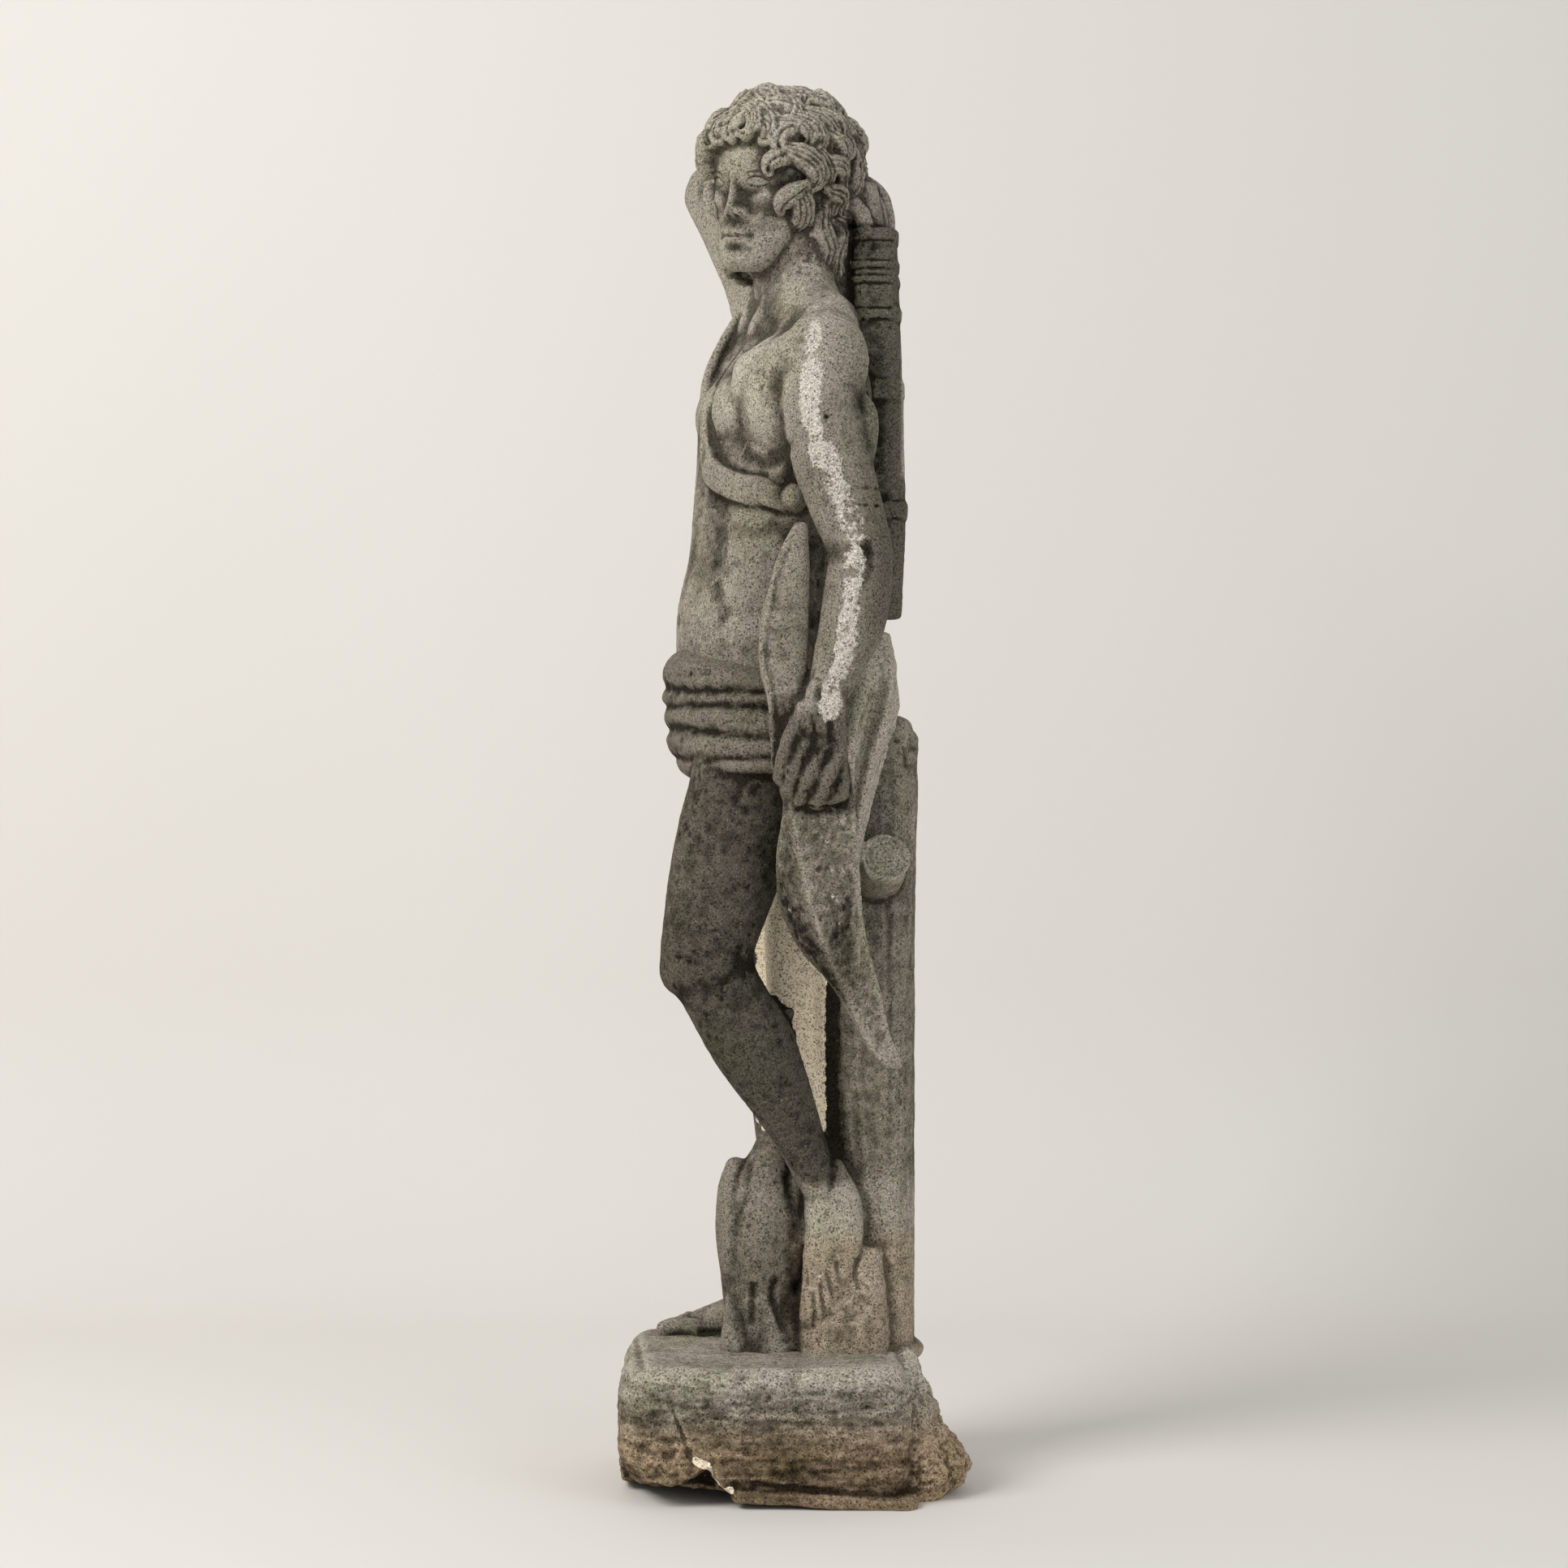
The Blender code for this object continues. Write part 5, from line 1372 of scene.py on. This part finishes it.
def stoneMaterial(name, grains, pits, pitShare, patches, patchStrength, hollowStrength, relief):
    # grains, pits and patches per metre; relief is the height of the grit in millimetres
    made = bpy.data.materials.new(name)
    made.use_nodes = True
    tree = made.node_tree
    masks = {mask: node(tree, "Attribute", {}, attribute_name=mask)["Fac"]
             for mask in ("hollow", "shade", "lichen", "cream", "earth")}

    def crust(cover, size, ragged):
        return node(tree, "Group", {"Cover": cover, "Lumps per metre": size, "Raggedness": ragged},
                    node_tree=crustGroup)["Mask"]

    grit = node(tree, "Group", {"Grains per metre": grains, "Pits per metre": pits, "Pit share": pitShare},
                node_tree=gritGroup)
    ageAndShade = node(tree, "Group", {"Shade": masks["shade"], "Hollow": masks["hollow"],
                               "Patches per metre": patches, "Patch strength": patchStrength,
                               "Hollow strength": hollowStrength}, node_tree=ageAndShadeGroup)
    colour = node(tree, "ValToRGB", {"Fac": ageAndShade["Dark"]})["Color"]
    stops = colour.node.color_ramp.elements
    for i, (at, tone) in enumerate(stoneColours["ramp"]):
        stop = stops[i] if i < 2 else stops.new(at)
        stop.position, stop.color = at, (*tone, 1)
    colour = mix(tree, "MULTIPLY", ageAndShade["Green"], colour, stoneColours["algae"])
    colour = mix(tree, "MULTIPLY", masks["earth"], colour, stoneColours["earth"])
    colour = mix(tree, "MIX", crust(masks["cream"], 75, 2.0), colour, stoneColours["cream"])
    colour = mix(tree, "MIX", crust(masks["lichen"], 100, 1.8), colour, stoneColours["lichen"])
    # small pale flecks of lichen anywhere
    flecks = calc(tree, "MULTIPLY", crust(-0.06, 170, 3.4), 0.26)
    colour = mix(tree, "MIX", flecks, colour, stoneColours["lichen"])
    grain = mix(tree, "MIX", grit["Grain"], stoneColours["grainDark"], stoneColours["grainLight"])
    colour = mix(tree, "MULTIPLY", 1.0, colour, grain)
    colour = mix(tree, "MULTIPLY", grit["Pits"], colour, stoneColours["pit"])
    bump = node(tree, "Bump", {"Distance": relief / 1000, "Strength": 0.85,
                               "Height": grit["Height"]})["Normal"]
    shader = tree.nodes["Principled BSDF"].inputs
    tree.links.new(colour, shader["Base Color"])
    tree.links.new(bump, shader["Normal"])
    shader["Roughness"].default_value = 0.92
    shader["Specular IOR Level"].default_value = 0.10
    return made


def stand(piece, material):
    piece.data.materials.clear()
    piece.data.materials.append(material)
    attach(piece, "root")
    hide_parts("statue")


def finishPiece(made, settings, sculpt, ownMarks, seed):
    print(made.name, "fused,", len(made.data.polygons), "faces")
    skin = Skin(made)
    sculpt(skin)
    skin.settle()
    thinOut(made, settings["triangles"])
    print(made.name, "carved")
    paint(made, settings, ownMarks, seed)
    stand(made, stoneMaterial(**settings["stone"]))


# the room, in metres: a pale floor that curves up into a pale wall, soft light and the camera

room = {
    "camera": (4.0, 0.0225, 0.833),
    "lens": 76.8,
    "floorWide": 9.0,
    "wallBehind": -1.6,
    "lights": (  # place, aimed at, size, strength, colour
        ((2.4, -2.8, 3.4), (0, 0, 0.9), 2.0, 138, (1.0, 0.985, 0.96)),
        ((2.8, 2.6, 1.6), (0, 0, 0.8), 2.0, 24, (0.94, 0.97, 1.0))),
    "sky": (0.95, 0.96, 0.97, 0.46),
    "backdrop": 0.84,
}


def stageFloor():
    clay = bmesh.new()
    back, wide = room["wallBehind"], room["floorWide"]
    profile = [(9.0, 0.0)]
    for i in range(13):
        a = math.radians(90 * i / 12)
        profile.append((back + 0.5 - 0.5 * math.sin(a), 0.5 - 0.5 * math.cos(a)))
    profile.append((back, 6.0))
    rows = [[clay.verts.new((x, y, z)) for y in (-wide, wide)] for x, z in profile]
    for low, high in zip(rows, rows[1:]):
        clay.faces.new((low[0], low[1], high[1], high[0]))
    floor = makeObject("studio_floor", clay)
    floor.data.polygons.foreach_set("use_smooth", np.ones(len(floor.data.polygons), bool))
    pale = bpy.data.materials.new("paleFloor")
    pale.use_nodes = True
    tree = pale.node_tree
    shader = tree.nodes["Principled BSDF"]
    shader.inputs["Base Color"].default_value = (0.82, 0.79, 0.75, 1)
    shader.inputs["Roughness"].default_value = 0.85
    # clear from behind, so that the statue can be seen from every side
    behind, clear = node(tree, "NewGeometry", {})["Backfacing"], node(tree, "BsdfTransparent", {})[0]
    either = node(tree, "MixShader", {0: behind, 1: shader.outputs[0], 2: clear})[0]
    tree.links.new(either, tree.nodes["Material Output"].inputs["Surface"])
    floor.data.materials.append(pale)


def lightRoom():
    for i, (place, target, size, strength, colour) in enumerate(room["lights"]):
        lamp = bpy.data.lights.new(f"softLight{i}", "AREA")
        lamp.size, lamp.energy, lamp.color = size, strength, colour
        made = addObject(lamp.name, lamp)
        made.location = place
        made.rotation_euler = (Vector(target) - made.location).to_track_quat("-Z", "Y").to_euler()
    world = bpy.data.worlds.new("paleSky")
    bpy.context.scene.world = world
    world.use_nodes = True
    sky = world.node_tree.nodes["Background"]
    sky.inputs["Color"].default_value = (*room["sky"][:3], 1)
    # the camera sees a brighter sky than the one that lights the stone
    seen = node(world.node_tree, "LightPath", {})["Is Camera Ray"]
    bright = remap(world.node_tree, seen, 0, 1, room["sky"][3], room["backdrop"])
    world.node_tree.links.new(bright, sky.inputs["Strength"])


def setCamera():
    lens = bpy.data.cameras.new("camera")
    lens.lens, lens.sensor_width = room["lens"], 36
    made = addObject("camera", lens)
    made.location = room["camera"]
    made.rotation_euler = (math.radians(90), 0, math.radians(90))
    bpy.context.scene.camera = made
    bpy.context.scene.view_settings.view_transform = "Standard"


figure, locks = archerForms()
finishPiece(figure, archer, lambda skin: sculptArcher(skin, locks), markArcher, 51)
finishPiece(supportForms(), support, sculptSupport, markSupport, 67)
finishPiece(blockForms(), block, sculptBlock, markBlock, 83)
print("weather painted, room next")
stageFloor()
lightRoom()
setCamera()
